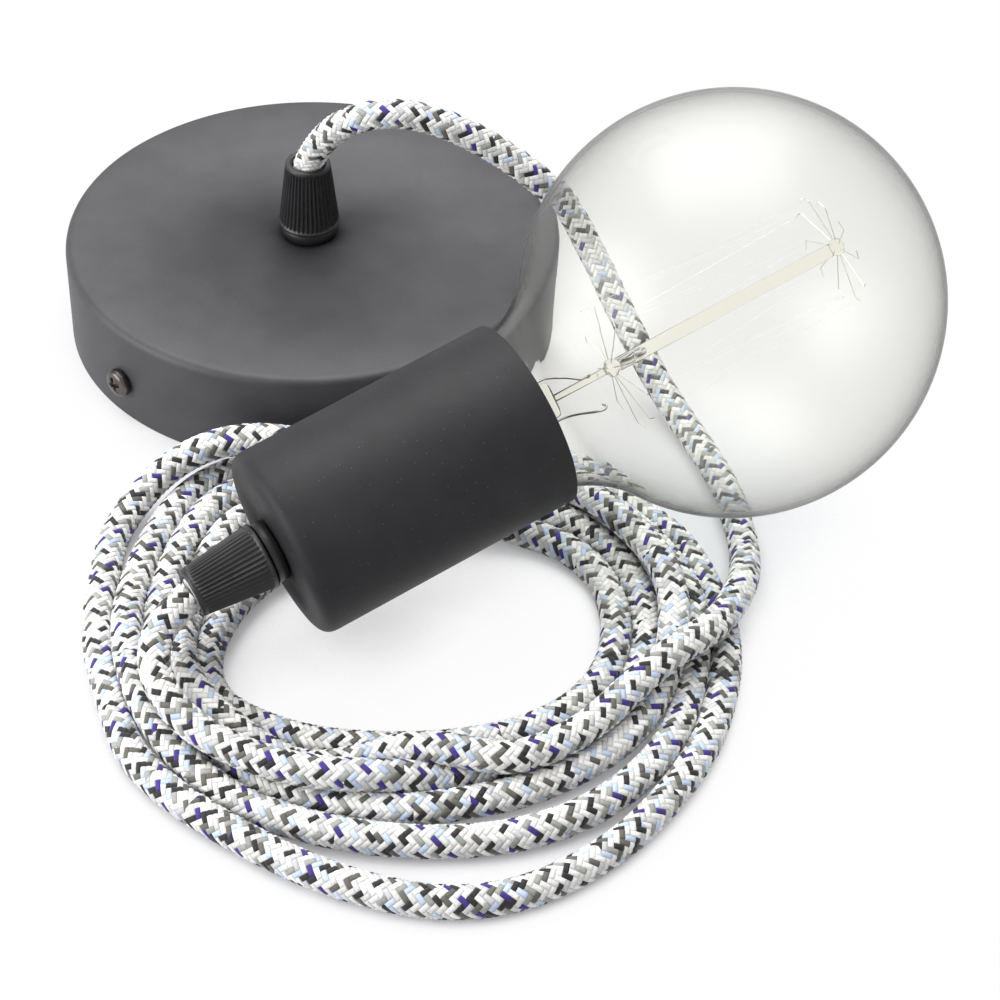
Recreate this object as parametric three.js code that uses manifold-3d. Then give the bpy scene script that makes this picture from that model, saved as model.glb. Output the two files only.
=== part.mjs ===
// Pendant cord set: a ceiling rose, a textile-covered cord and a lamp holder with a clear globe bulb.
// Millimetres, +Z up. The origin is the middle of the rose's ceiling face, and the set lies as unpacked:
// the rose on its rim, the cord in loose turns on the table, the bulb resting on the cord.

import * as THREE from 'three';
import { mergeVertices } from 'three/addons/utils/BufferGeometryUtils.js';
import Module from 'manifold-3d';

const wasm = await Module();
wasm.setup();

// Fits
const seatGap = 0.3; // between pieces that rest on or in each other
const threadGap = 0.45; // between a male thread and its female one
const boreGap = 0.4; // round a shank in a plain hole

// Cord
const cordDia = 7;
const coreDia = 2.2;
const cordTailLength = 31; // from a grip's tip to where the jacket is stripped

// Ceiling rose
const roseDia = 120;
const roseHeight = 25;
const roseWall = 1;
const roseEdgeRadius = 2.5;

// Bracket across the rose, with bent-up tabs
const bracketAngle = 46; // degrees from +X to the strap's length
const strapWidth = 20;
const strapThickness = 1.5;
const tabHeight = 16;
const sideScrewHeight = 10;
const slotLength = 13;
const slotWidth = 4.6;
const slotRadius = 44; // from the centre to the slot's middle
const earthRadius = 22; // from the centre to the earth boss
const earthBossDia = 9;
const earthBossHeight = 3.2;

// Screws
const screwDia = 3.6; // shank of the side and earth screws
const screwHeadDia = 7;
const screwHeadHeight = 2.6;
const sideScrewLength = 11;
const earthScrewLength = 4.2;
const recessWidth = 1;
const recessDepth = 1.2;
const washerThickness = 0.8;

// Terminal block
const poleCount = 2;
const polePitch = 10;
const blockDepth = 16;
const blockHeight = 11.5;
const blockStart = 14; // from the centre to the block's near end
const insertDia = 4.8;
const insertBore = 3.2;
const insertHeight = 4.6; // above the block's foot
const blockScrewDia = 3.2;
const blockScrewInset = 4;

// Cord grip, the same at both ends
const gripThreadDia = 9.7;
const gripCollarDia = 13.8;
const gripCollarLength = 2.5;
const gripCapBaseDia = 15;
const gripCapTipDia = 10.9;
const gripCapLength = 17.2;
const gripCapRimLength = 0.9; // plain raised ring at the cap's foot
const gripTipRimLength = 1;
const ribCount = 24;
const ribDepth = 0.38;
const fingerLength = 10.5;
const fingerWall = 1.1;
const fingerSlotWidth = 1.1;
const gripNutFlats = 14;
const gripNutHeight = 2.8;
const gripStubLength = 9;

// Lamp holder cover
const coverDia = 42.8;
const coverLength = 62;
const coverWall = 1;
const coverEdgeRadius = 3.5;
const rimDistance = 53.2; // from the globe's centre to the cover's open rim

// Insulating holder inside the cover
const domeDia = 35;
const domeWall = 2.2;
const domeLength = 16;
const contactBlockHeight = 7;
const contactBlockDia = 30.4;
const skirtFlangeDia = 38.4;
const skirtFlangeLength = 2.6;
const skirtDia = 34.4;
const skirtLap = 6; // how far the skirt screws over the dome
const contactThickness = 0.5;
const contactWidth = 5;
const terminalRadius = 8.5;

// Globe bulb
const globeDia = 95;
const glassWall = 0.8;
const neckDia = 35;
const neckFlareRadius = 28;
const bulbCapStart = 66.5; // from the globe's centre to the metal cap's lip
const bulbCapLength = 17.5;
const capThreadDia = 26.2;
const capThreadDepth = 0.9;
const capThreadPitch = 3.62;
const capWall = 0.45;
const capLipWidth = 0.3; // that the cap's lip stands out beyond its thread
const insulatorLength = 5;
const tipDia = 9;
const tipHeight = 1.5;

// Filament mount inside the bulb, along its axis from the globe's centre
const stemTop = 46;
const pinchWidth = 8.3; // of the stem's flat end
const pinchThickness = 3;
const pinchAngle = 155.4; // of one edge of that end, in the mount
const lowerHub = 31;
const upperHub = -28.5;
const rodDia = 1.6; // from the stem to the lower button
const tubeDia = 3.1; // between the two buttons
const buttonDia = 4.2;
const buttonLength = 2.4;
const supportCount = 10;
const supportWireDia = 0.36;
const lowerSupportReach = 15.3;
const upperSupportReach = 13.2;
const supportHookLength = 2.6;
const supportLean = 1.2; // of a hook towards the other star
const leadWireDia = 0.8;
const leadHookAt = 37.5;
const leadHooks = [[18, 8.2], [90, 4]]; // angle in the mount and distance from the axis
const mountAngle = 59.6; // degrees that the whole mount is turned about the bulb's axis
const filamentDia = 0.36;
const filamentTurn = 1; // width of its turn at a hook

// Where the bulb and holder lie
const axisAzimuth = 210.8; // degrees, from the globe's centre towards the cord
const axisTilt = -12.8;
const bulbPlace = [99, -64];

// Facets
const roseSides = 44;
const coverSides = 36;
const glassSides = 30;
const threadSides = 18;
const smallSides = 12;
const wireSides = 3;

const rad = THREE.MathUtils.degToRad;
const v3 = (x, y, z) => new THREE.Vector3(x, y, z);

// Finishes
const finish = (color, roughness, metalness, more = {}) =>
  new THREE.MeshStandardMaterial({ color, roughness, metalness, ...more });
const blackSteel = () => finish(0x45454a, 0.62, 0.1);
const blackPlastic = () => finish(0x28282b, 0.5, 0);
const gunmetal = () => finish(0x4b484a, 0.35, 0.9);
const zincSteel = () => finish(0xb4b6b8, 0.4, 0.9);
const brass = () => finish(0xc2a25a, 0.35, 0.95);
const whitePlastic = () => finish(0xe8e8e4, 0.5, 0);
const textile = () => finish(0xd3d3d6, 0.9, 0);
const clearGlass = () => finish(0xf2f3ee, 0.05, 0, { transparent: true, opacity: 0.3 });
const paleGlass = () => finish(0xf1efcf, 0.1, 0, { transparent: true, opacity: 0.7 });
const wireMetal = () => finish(0x8c8c88, 0.35, 0.9);
const coreColours = { live: 0x6a3b22, neutral: 0x2f62a8, earth: 0x7fa32e };

// Radius of a faceted hole whose flats clear a round of the given radius.
const clear = (radius) => radius / Math.cos(Math.PI / threadSides);

// A closed position-only mesh: shared corners merged, slivers dropped, faces turned out.
function tidy(geometry) {
  geometry.deleteAttribute('normal');
  geometry.deleteAttribute('uv');
  const merged = mergeVertices(geometry, 1e-4);
  const index = merged.index.array;
  const p = merged.attributes.position;
  const kept = [];
  let volume = 0;
  for (let i = 0; i < index.length; i += 3) {
    const [a, b, c] = [index[i], index[i + 1], index[i + 2]];
    if (a === b || b === c || c === a) continue;
    kept.push(a, b, c);
    const [va, vb, vc] = [a, b, c].map((k) => v3(p.getX(k), p.getY(k), p.getZ(k)));
    volume += va.dot(vb.cross(vc));
  }
  if (volume < 0) kept.reverse();
  merged.setIndex(kept);
  return merged;
}

function toSolid(geometry) {
  const g = tidy(geometry.clone());
  return new wasm.Manifold(
    new wasm.Mesh({
      numProp: 3,
      vertProperties: new Float32Array(g.attributes.position.array),
      triVerts: new Uint32Array(g.index.array),
    }),
  );
}

function toGeometry(solid) {
  const mesh = solid.getMesh();
  const geometry = new THREE.BufferGeometry();
  geometry.setAttribute('position', new THREE.BufferAttribute(new Float32Array(mesh.vertProperties), 3));
  geometry.setIndex(Array.from(mesh.triVerts));
  return geometry;
}

const cut = (base, ...tools) =>
  toGeometry(tools.reduce((solid, tool) => solid.subtract(toSolid(tool)), toSolid(base)));
const join = (base, ...others) =>
  toGeometry(others.reduce((solid, other) => solid.add(toSolid(other)), toSolid(base)));

// A profile of [radius, height] pairs turned about Z. It closes on itself, or starts and ends on the axis.
function revolve(profile, sides = smallSides) {
  const closed = profile[0][0] > 0;
  const loop = closed ? [...profile, profile[0]] : profile;
  const geometry = new THREE.LatheGeometry(loop.map(([r, h]) => new THREE.Vector2(r, h)), sides);
  return tidy(geometry.rotateX(Math.PI / 2));
}

// Points on an arc in a profile, from one angle to another in degrees.
function arc(r, h, radius, from, to, steps = 3) {
  return Array.from({ length: steps + 1 }, (_, i) => {
    const t = rad(from + ((to - from) * i) / steps);
    return [r + radius * Math.cos(t), h + radius * Math.sin(t)];
  });
}

const rod = (dia, from, to, sides = smallSides) =>
  revolve([[0, from], [dia / 2, from], [dia / 2, to], [0, to]], sides);
const tube = (dia, bore, from, to, sides = smallSides) =>
  revolve([[bore / 2, from], [dia / 2, from], [dia / 2, to], [bore / 2, to]], sides);
const box = (w, d, h, x, y, z) => new THREE.BoxGeometry(w, d, h).translate(x, y, z);

// Rings of points joined side by side into one closed skin, the last ring to the first.
function loft(rings) {
  const n = rings[0].length;
  const positions = rings.flat().flatMap((p) => [p.x, p.y, p.z]);
  const index = [];
  for (let i = 0; i < rings.length; i++) {
    const next = (i + 1) % rings.length;
    for (let j = 0; j < n; j++) {
      const [a, b] = [i * n + j, i * n + ((j + 1) % n)];
      const [c, d] = [next * n + j, next * n + ((j + 1) % n)];
      index.push(a, b, d, a, d, c);
    }
  }
  const geometry = new THREE.BufferGeometry();
  geometry.setAttribute('position', new THREE.Float32BufferAttribute(positions, 3));
  geometry.setIndex(index);
  return tidy(geometry);
}

// One ring of a loft: a radius for each angle, at a height that may rise with the angle.
const ring = (count, radius, height) =>
  Array.from({ length: count }, (_, j) => {
    const t = (2 * Math.PI * j) / count;
    const r = radius(t, j);
    return v3(r * Math.cos(t), r * Math.sin(t), height);
  });

// A round section carried along a smooth path.
function sweep(points, dia, sides, steps, tension = 'centripetal') {
  const path = new THREE.CatmullRomCurve3(points.map((p) => v3(...p)), false, tension);
  const section = new THREE.Shape();
  for (let i = 0; i < sides; i++) {
    const t = (2 * Math.PI * (i + 0.5)) / sides;
    const [x, y] = [(dia / 2) * Math.cos(t), (dia / 2) * Math.sin(t)];
    if (i === 0) section.moveTo(x, y);
    else section.lineTo(x, y);
  }
  section.closePath();
  return tidy(new THREE.ExtrudeGeometry(section, { steps, extrudePath: path }));
}

// A wire of straight stretches through its points. Each joint is a mitre, so the wire keeps its thickness,
// and its section is carried from joint to joint without a twist.
function wire(points, dia, sides = wireSides) {
  const joints = points.map((p, i) => {
    const before = i > 0 ? v3(...p).sub(v3(...points[i - 1])).normalize() : null;
    const after = i < points.length - 1 ? v3(...points[i + 1]).sub(v3(...p)).normalize() : null;
    const along = (before && after ? before.clone().add(after) : before || after).normalize();
    const bend = before && after ? after.clone().sub(before).normalize() : v3(0, 0, 0);
    return { at: v3(...p), along, bend, widening: 1 / along.dot(before || after) - 1 };
  });
  const u = (Math.abs(joints[0].along.z) < 0.9 ? v3(0, 0, 1) : v3(1, 0, 0)).cross(joints[0].along).normalize();
  const turn = new THREE.Quaternion();
  const rings = joints.map(({ at, along, bend, widening }, i) => {
    if (i > 0) u.applyQuaternion(turn.setFromUnitVectors(joints[i - 1].along, along));
    const w = along.clone().cross(u);
    return Array.from({ length: sides }, (_, j) => {
      const t = (2 * Math.PI * (j + 0.5)) / sides;
      const offset = u.clone().multiplyScalar(Math.cos(t)).addScaledVector(w, Math.sin(t)).multiplyScalar(dia / 2);
      return at.clone().add(offset).addScaledVector(bend, offset.dot(bend) * widening);
    });
  });
  const positions = rings.flat().concat([joints[0].at, joints.at(-1).at]).flatMap((p) => [p.x, p.y, p.z]);
  const index = [];
  const [first, last, n] = [rings.length * sides, rings.length * sides + 1, sides];
  for (let i = 0; i < rings.length - 1; i++) {
    for (let j = 0; j < n; j++) {
      const [a, b] = [i * n + j, i * n + ((j + 1) % n)];
      index.push(a, b, b + n, a, b + n, a + n);
    }
  }
  for (let j = 0; j < n; j++) {
    const k = (rings.length - 1) * n;
    index.push(first, (j + 1) % n, j, last, k + j, k + ((j + 1) % n));
  }
  const geometry = new THREE.BufferGeometry();
  geometry.setAttribute('position', new THREE.Float32BufferAttribute(positions, 3));
  geometry.setIndex(index);
  return tidy(geometry);
}

function piece(parent, name, geometry, material) {
  const mesh = new THREE.Mesh(geometry, material);
  mesh.name = name;
  parent.add(mesh);
  return mesh;
}

// Sizes that follow from the ones above
const roseInner = roseDia / 2 - roseWall;
const gripHole = gripThreadDia / 2 + boreGap; // radius of the hole for a grip's stub
const gripBore = cordDia / 2 + boreGap; // radius inside the stub and the fingers
const gripTip = seatGap + gripCollarLength + seatGap + gripCapLength; // above the face it stands on
const screwHole = screwDia / 2 + seatGap;
const coverEnd = rimDistance + coverLength;
const coverInner = coverDia / 2 - coverWall;
const domeEnd = coverEnd - coverWall - seatGap;
const domeStart = domeEnd - domeLength;
const bulbCapEnd = bulbCapStart + bulbCapLength;
const bulbTip = bulbCapEnd + insulatorLength + tipHeight;
const blockFace = bulbTip + 2 * seatGap + contactThickness; // the contact block's face towards the bulb
const skirtStart = bulbCapStart;
const leadFoot = pinchWidth / 2 + seatGap + leadWireDia / 2; // from the axis, along the stem

// Ceiling rose: a drawn cup with a rounded edge, a hole for the grip and two holes for the side screws.
function roseCup() {
  const innerRadius = Math.max(roseEdgeRadius - roseWall, 0.2);
  const edge = roseDia / 2 - roseEdgeRadius;
  const top = roseHeight - roseEdgeRadius;
  const cup = revolve(
    [
      [gripHole, roseHeight],
      ...arc(edge, top, roseEdgeRadius, 90, 0),
      [roseDia / 2, 0],
      [roseInner, 0],
      ...arc(roseInner - innerRadius, roseHeight - roseWall - innerRadius, innerRadius, 0, 90, 2),
      [gripHole, roseHeight - roseWall],
    ],
    roseSides,
  );
  const drill = rod(2 * screwHole, 0, roseDia + 2 * roseWall).rotateY(Math.PI / 2);
  drill.translate(-roseDia / 2 - roseWall, 0, sideScrewHeight);
  return cut(cup, drill.rotateZ(rad(bracketAngle)));
}

// Distance from the centre to the outer face of a tab, whose corners clear the cup's wall.
const tabFace = Math.sqrt((roseInner - seatGap) ** 2 - (strapWidth / 2) ** 2) - seatGap;

// Bracket: a strap with bent-up tabs, slots for the ceiling screws and a boss for the earth screw.
function bracket() {
  const outline = new THREE.Shape();
  const bend = strapThickness * 1.6;
  const inner = bend - strapThickness;
  outline.moveTo(-tabFace + bend, 0);
  outline.lineTo(tabFace - bend, 0);
  outline.absarc(tabFace - bend, bend, bend, -Math.PI / 2, 0, false);
  outline.lineTo(tabFace, tabHeight);
  outline.lineTo(tabFace - strapThickness, tabHeight);
  outline.absarc(tabFace - bend, bend, inner, 0, -Math.PI / 2, true);
  outline.absarc(-tabFace + bend, bend, inner, -Math.PI / 2, -Math.PI, true);
  outline.lineTo(-tabFace + strapThickness, tabHeight);
  outline.lineTo(-tabFace, tabHeight);
  outline.absarc(-tabFace + bend, bend, bend, Math.PI, 1.5 * Math.PI, false);
  const strap = new THREE.ExtrudeGeometry(outline, { depth: strapWidth, bevelEnabled: false, curveSegments: 4 });
  strap.rotateX(Math.PI / 2).translate(0, strapWidth / 2, 0);
  const boss = rod(earthBossDia, strapThickness / 2, strapThickness + earthBossHeight).translate(-earthRadius, 0, 0);
  const slots = [-1, 1].map((side) => {
    const straight = slotLength - slotWidth;
    const depth = 4 * strapThickness;
    const ends = [-1, 1].map((s) => rod(slotWidth, 0, depth).translate((s * straight) / 2, 0, -strapThickness));
    const slot = join(box(straight, slotWidth, depth, 0, 0, depth / 2 - strapThickness), ...ends);
    return slot.translate(side * slotRadius, 0, 0);
  });
  const tapped = rod(2 * screwHole, 0, 2 * tabFace + 4 * strapThickness).rotateY(Math.PI / 2);
  tapped.translate(-tabFace - 2 * strapThickness, 0, sideScrewHeight);
  const earthHole = rod(2 * screwHole, -strapThickness, 3 * earthBossHeight).translate(-earthRadius, 0, 0);
  return cut(join(strap, boss), ...slots, tapped, earthHole);
}

// Pan-head screw with a cross recess. The head stands on z = 0 and the shank points down.
function panScrew(length, dia = screwDia, headDia = screwHeadDia, headHeight = screwHeadHeight) {
  const crown = headHeight * 0.45;
  const screw = revolve([
    [0, -length],
    [dia * 0.32, -length],
    [dia / 2, -length + dia * 0.2],
    [dia / 2, 0],
    [headDia / 2, 0],
    [headDia / 2, headHeight - crown],
    [headDia * 0.36, headHeight - crown * 0.3],
    [0, headHeight],
  ]);
  const span = headDia * 0.56;
  const blade = (turn) => box(span, recessWidth, recessDepth * 2, 0, 0, headHeight).rotateZ(turn);
  return cut(screw, blade(0), blade(Math.PI / 2));
}

// Cord grip, standing on z = 0 with its stub going down through the face. Four pieces.
function cordGrip(parent, prefix, faceThickness, washered) {
  const capFoot = seatGap + gripCollarLength + seatGap;
  piece(parent, `${prefix}_grip_cap`, ribbedCap(capFoot), blackPlastic());
  piece(parent, `${prefix}_grip_body`, gripBody(capFoot), blackPlastic());
  const under = -faceThickness - seatGap;
  const nutTop = washered ? under - washerThickness - seatGap : under;
  if (washered) {
    const washer = tube(gripNutFlats + 4, 2 * gripHole, under - washerThickness, under, threadSides);
    piece(parent, `${prefix}_grip_washer`, washer, zincSteel());
  }
  const hexagon = rod(gripNutFlats / Math.cos(Math.PI / 6), nutTop - gripNutHeight, nutTop, 6);
  const nut = cut(hexagon, rod(2 * gripHole, nutTop - 2 * gripNutHeight, nutTop + gripNutHeight));
  piece(parent, `${prefix}_grip_nut`, nut, blackPlastic());
}

// The cap: a cone with fine lengthwise ribs between two plain rings, hollow over the fingers.
function ribbedCap(foot) {
  const count = 2 * ribCount;
  const tip = foot + gripCapLength;
  const cone = (z) => THREE.MathUtils.mapLinear(z, foot, tip, gripCapBaseDia / 2, gripCapTipDia / 2);
  const plain = (r, z) => ring(count, () => r, z);
  const ribbed = (z) => ring(count, (t, j) => cone(z) - (j % 2 ? ribDepth : 0), z);
  const rimEnd = foot + gripCapRimLength;
  const ribEnd = tip - gripTipRimLength;
  const fingerRoom = gripBore + fingerWall + boreGap;
  const cavityEnd = foot + fingerLength - gripCollarLength * 0.4;
  return loft([
    plain(gripCapBaseDia / 2, foot),
    plain(gripCapBaseDia / 2, rimEnd),
    ribbed(rimEnd + ribDepth),
    ribbed(ribEnd - ribDepth),
    plain(cone(ribEnd), ribEnd),
    plain(gripCapTipDia / 2 - 0.25, tip),
    plain(cordDia / 2 + seatGap + 0.35, tip),
    plain(cordDia / 2 + seatGap, tip - 0.6),
    plain(cordDia / 2 + seatGap, cavityEnd + fingerWall + boreGap),
    plain(fingerRoom, cavityEnd),
    plain(fingerRoom, foot),
  ]);
}

// The body: a stub and a collar turned in one, with fingers split by two slots that cross.
function gripBody(capFoot) {
  const fingerEnd = capFoot + fingerLength - gripCollarLength * 0.4 - seatGap;
  const body = revolve(
    [
      [gripBore, -gripStubLength],
      [gripThreadDia / 2, -gripStubLength],
      [gripThreadDia / 2, seatGap],
      [gripCollarDia / 2, seatGap],
      [gripCollarDia / 2, seatGap + gripCollarLength],
      [gripBore + fingerWall, seatGap + gripCollarLength],
      [gripBore + fingerWall, fingerEnd - fingerWall],
      [gripBore + fingerWall / 2, fingerEnd],
      [gripBore, fingerEnd],
    ],
    threadSides,
  );
  const slotFoot = capFoot + 2;
  const slot = (turn) =>
    box(gripCollarDia, fingerSlotWidth, fingerLength, 0, 0, slotFoot + fingerLength / 2).rotateZ(turn);
  return cut(body, slot(0), slot(Math.PI / 2));
}

// The cord inside a grip, down to where its jacket ends.
const cordTail = (top, length = cordTailLength) => rod(cordDia, top - length, top, 12);

// Terminal block: poles side by side, a brass insert in each and two screws on each insert.
function terminalBlock(parent, foot) {
  const length = poleCount * polePitch;
  const middle = blockStart + length / 2;
  const poleAt = (i) => blockStart + polePitch * (i + 0.5);
  const screwAt = [-1, 1].map((side) => side * (blockDepth / 2 - blockScrewInset));
  const bore = (x) =>
    rod(insertDia + 2 * seatGap, -blockDepth, blockDepth).rotateX(Math.PI / 2).translate(x, 0, foot + insertHeight);
  const poles = Array.from({ length: poleCount }, (_, i) => poleAt(i));
  const wells = poles.flatMap((x) =>
    screwAt.map((y) => rod(blockScrewDia + 2 * seatGap, insertHeight, 2 * blockHeight).translate(x, y, foot)),
  );
  const shoulder = new THREE.Shape();
  const crown = blockHeight * 0.62;
  shoulder.moveTo(-blockDepth / 2, 0);
  shoulder.lineTo(blockDepth / 2, 0);
  shoulder.lineTo(blockDepth / 2, crown);
  shoulder.lineTo(blockDepth / 2 - 1.2, blockHeight);
  shoulder.lineTo(-blockDepth / 2 + 1.2, blockHeight);
  shoulder.lineTo(-blockDepth / 2, crown);
  shoulder.closePath();
  const body = new THREE.ExtrudeGeometry(shoulder, { depth: length, bevelEnabled: false });
  body.rotateX(Math.PI / 2).rotateZ(Math.PI / 2).translate(middle - length / 2, 0, foot);
  const notches = poles.slice(1).flatMap((x) =>
    [-1, 1].map((side) => box(1.4, 3, 3 * blockHeight, x - polePitch / 2, (side * blockDepth) / 2, foot)),
  );
  piece(parent, 'terminal_block', cut(body, ...poles.map(bore), ...wells, ...notches), whitePlastic());
  poles.forEach((x, i) => {
    const insert = tube(insertDia, insertBore, -blockDepth / 2 + 1, blockDepth / 2 - 1).rotateX(Math.PI / 2);
    piece(parent, `terminal_insert_${i + 1}`, insert.translate(x, 0, foot + insertHeight), brass());
    screwAt.forEach((y, j) => {
      const bottom = foot + insertHeight + insertDia / 2 + seatGap;
      const screw = cut(
        rod(blockScrewDia, bottom, foot + blockHeight - 1, 12),
        box(blockScrewDia * 2, 0.6, 1.6, 0, 0, foot + blockHeight - 1),
      );
      piece(parent, `terminal_screw_${2 * i + j + 1}`, screw.translate(x, y, 0), brass());
    });
  });
  return { poleAt, mouth: blockDepth / 2, height: foot + insertHeight };
}

// Everything in and on the rose.
function ceilingRose() {
  const rose = new THREE.Group();
  piece(rose, 'ceiling_rose_cup', roseCup(), blackSteel());

  const across = new THREE.Group();
  across.rotation.z = rad(bracketAngle);
  rose.add(across);
  piece(across, 'mounting_bracket', bracket(), zincSteel());
  [1, -1].forEach((side, i) => {
    const screw = panScrew(sideScrewLength).rotateZ(Math.PI / 7).rotateY((side * Math.PI) / 2);
    const seat = side * (roseDia / 2 + seatGap);
    piece(across, `side_screw_${i + 1}`, screw.translate(seat, 0, sideScrewHeight), gunmetal());
  });

  const bossTop = strapThickness + earthBossHeight + seatGap;
  const washer = tube(earthBossDia, 2 * screwHole, bossTop, bossTop + washerThickness);
  piece(across, 'earth_washer', washer.translate(-earthRadius, 0, 0), brass());
  const earthScrew = panScrew(earthScrewLength).translate(-earthRadius, 0, bossTop + washerThickness + seatGap);
  piece(across, 'earth_screw', earthScrew, brass());
  const block = terminalBlock(across, strapThickness + seatGap);

  const grip = new THREE.Group();
  grip.position.z = roseHeight;
  rose.add(grip);
  cordGrip(grip, 'rose', roseWall, true);
  piece(grip, 'rose_cord_tail', cordTail(gripTip), textile());
  roseCores(across, block, bossTop);
  return rose;
}

// The stripped cores: two to the terminal block and one to the earth screw.
function roseCores(parent, block, earthTop) {
  const stripped = roseHeight + gripTip - cordTailLength - seatGap;
  const bend = stripped - coreDia / 2;
  const lay = (coreDia + seatGap) / Math.sqrt(3); // from the cord's middle to a core's
  const outside = block.mouth + 2 * coreDia;
  const [near, far] = [block.poleAt(0), block.poleAt(poleCount - 1)];
  const core = (name, points, colour) =>
    piece(parent, name, sweep(points, coreDia, 8, 10), finish(coreColours[colour], 0.5, 0));
  const toPole = (x, y) => [[x, block.mouth + coreDia, y], [x, block.mouth + seatGap, y]];
  core('rose_live_core', [
    [lay / 2, -lay * 0.87, stripped], [lay / 2, -lay * 0.87, bend], [near * 0.3, 1.5, bend - coreDia * 0.8],
    [near * 0.55, outside * 0.52, (bend + block.height) / 2], [near * 0.8, outside * 0.94, block.height + 0.5],
    ...toPole(near, block.height),
  ], 'live');
  core('rose_neutral_core', [
    [lay / 2, lay * 0.87, stripped], [lay / 2, lay * 0.87, bend], [far * 0.12, outside * 0.5, bend - coreDia * 0.8],
    [far * 0.34, outside * 1.05, (bend + block.height) / 2], [far * 0.64, outside * 1.32, block.height + 0.5],
    [far * 0.9, outside * 1.22, block.height], ...toPole(far, block.height),
  ], 'neutral');
  const side = -earthRadius + earthBossDia / 2 + seatGap;
  core('rose_earth_core', [
    [-lay, 0, stripped], [-lay, 0, bend], [-lay * 2.6, 0, bend - coreDia], [side * 0.5, 0, (bend + earthTop) / 2 - 1],
    [side * 0.78, 0, earthTop + 0.5], [side, 0, earthTop + washerThickness / 2],
  ], 'earth');
}

// Cover: a deep cup with a rounded closed end and a hole there for the grip.
function holderCover() {
  const innerRadius = Math.max(coverEdgeRadius - coverWall, 0.2);
  const outer = coverDia / 2;
  return revolve(
    [
      [gripHole, coverEnd],
      ...arc(outer - coverEdgeRadius, coverEnd - coverEdgeRadius, coverEdgeRadius, 90, 0),
      [outer, rimDistance + coverWall / 2],
      [outer - coverWall / 4, rimDistance],
      [coverInner + coverWall / 4, rimDistance],
      [coverInner, rimDistance + coverWall / 2],
      ...arc(coverInner - innerRadius, coverEnd - coverWall - innerRadius, innerRadius, 0, 90, 3),
      [gripHole, coverEnd - coverWall],
    ],
    coverSides,
  );
}

// Dome: the insulating cap that the grip's nut clamps against the cover's closed end.
function holderDome() {
  const r = domeDia / 2;
  const slope = r * 0.25;
  return revolve(
    [
      [gripHole, domeEnd],
      [r - slope, domeEnd],
      [r, domeEnd - slope],
      [r, domeStart],
      [clear(contactBlockDia / 2 + seatGap), domeStart],
      [clear(contactBlockDia / 2 + seatGap), domeEnd - domeWall - slope],
      [r - slope - domeWall / 2, domeEnd - domeWall],
      [gripHole, domeEnd - domeWall],
    ],
    glassSides,
  );
}

// Radius of a rounded screw thread of the given mean radius, at an angle and a height.
const threadRadius = (mean, t, z) =>
  mean + (capThreadDepth / 2) * Math.cos(2 * Math.PI * ((z - bulbCapStart) / capThreadPitch) - t);

// Heights at which a thread is sampled, four for each turn.
function threadHeights(from, to) {
  const count = Math.round(((to - from) / capThreadPitch) * 4);
  return Array.from({ length: count + 1 }, (_, i) => from + ((to - from) * i) / count);
}

// Skirt: the threaded sleeve that takes the bulb's cap and screws over the dome.
function threadedSkirt() {
  const mean = capThreadDia / 2 - capThreadDepth / 2 + threadGap;
  const threadEnd = bulbCapEnd - seatGap;
  const blockRoom = clear(contactBlockDia / 2 + seatGap);
  const lapRoom = clear(domeDia / 2 + seatGap);
  const lapFoot = domeStart - seatGap;
  const plain = (r, z) => ring(threadSides, () => r, z);
  const mouth = mean + capThreadDepth;
  const threads = threadHeights(skirtStart + capThreadPitch / 2, threadEnd).map((z) =>
    ring(threadSides, (t) => threadRadius(mean, t, z), z),
  );
  return loft([
    plain(mouth, skirtStart),
    plain(mouth, skirtStart + capThreadPitch / 4),
    ...threads,
    plain(mean + capThreadDepth / 2, threadEnd + 1),
    plain(mean + capThreadDepth / 2, blockFace - seatGap),
    plain(blockRoom, blockFace - seatGap),
    plain(blockRoom, lapFoot),
    plain(lapRoom, lapFoot),
    plain(lapRoom, domeStart + skirtLap),
    plain(lapRoom + domeWall / 2, domeStart + skirtLap),
    plain(lapRoom + domeWall / 2, lapFoot - domeWall),
    plain(skirtDia / 2, lapFoot - 2 * domeWall),
    plain(skirtDia / 2, skirtStart + skirtFlangeLength),
    plain(skirtFlangeDia / 2, skirtStart + skirtFlangeLength),
    plain(skirtFlangeDia / 2, skirtStart),
  ]);
}

// Contact block: a moulded disc with two screw wells and a groove for the side contact's foot.
function contactBlock() {
  const back = blockFace + contactBlockHeight;
  const disc = rod(contactBlockDia, blockFace, back, threadSides);
  const wells = [-1, 1].map((side) =>
    rod(2 * (blockScrewDia / 2 + seatGap), back - 4, back + 4).translate(side * terminalRadius, 0, 0),
  );
  const keys = [-1, 1].map((side) =>
    box(4, 2.4, 4 * contactBlockHeight, 0, (side * contactBlockDia) / 2, blockFace),
  );
  return cut(disc, ...wells, ...keys);
}

// Side contact: a foot on the block's face and a post that reaches the end of the bulb's shell.
function sideContact() {
  const face = blockFace - seatGap;
  const post = capThreadDia / 2 - capThreadDepth - seatGap;
  const outline = new THREE.Shape();
  outline.moveTo(post, bulbCapEnd + seatGap);
  outline.lineTo(post, face);
  outline.lineTo(post - 4 * contactThickness, face);
  outline.lineTo(post - 4 * contactThickness, face - contactThickness);
  outline.lineTo(post - contactThickness, face - contactThickness);
  outline.lineTo(post - contactThickness, bulbCapEnd + seatGap);
  outline.closePath();
  const strip = new THREE.ExtrudeGeometry(outline, { depth: contactWidth, bevelEnabled: false });
  strip.translate(0, 0, -contactWidth / 2).rotateX(Math.PI / 2);
  return tidy(strip.rotateZ(Math.PI / 2));
}

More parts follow.
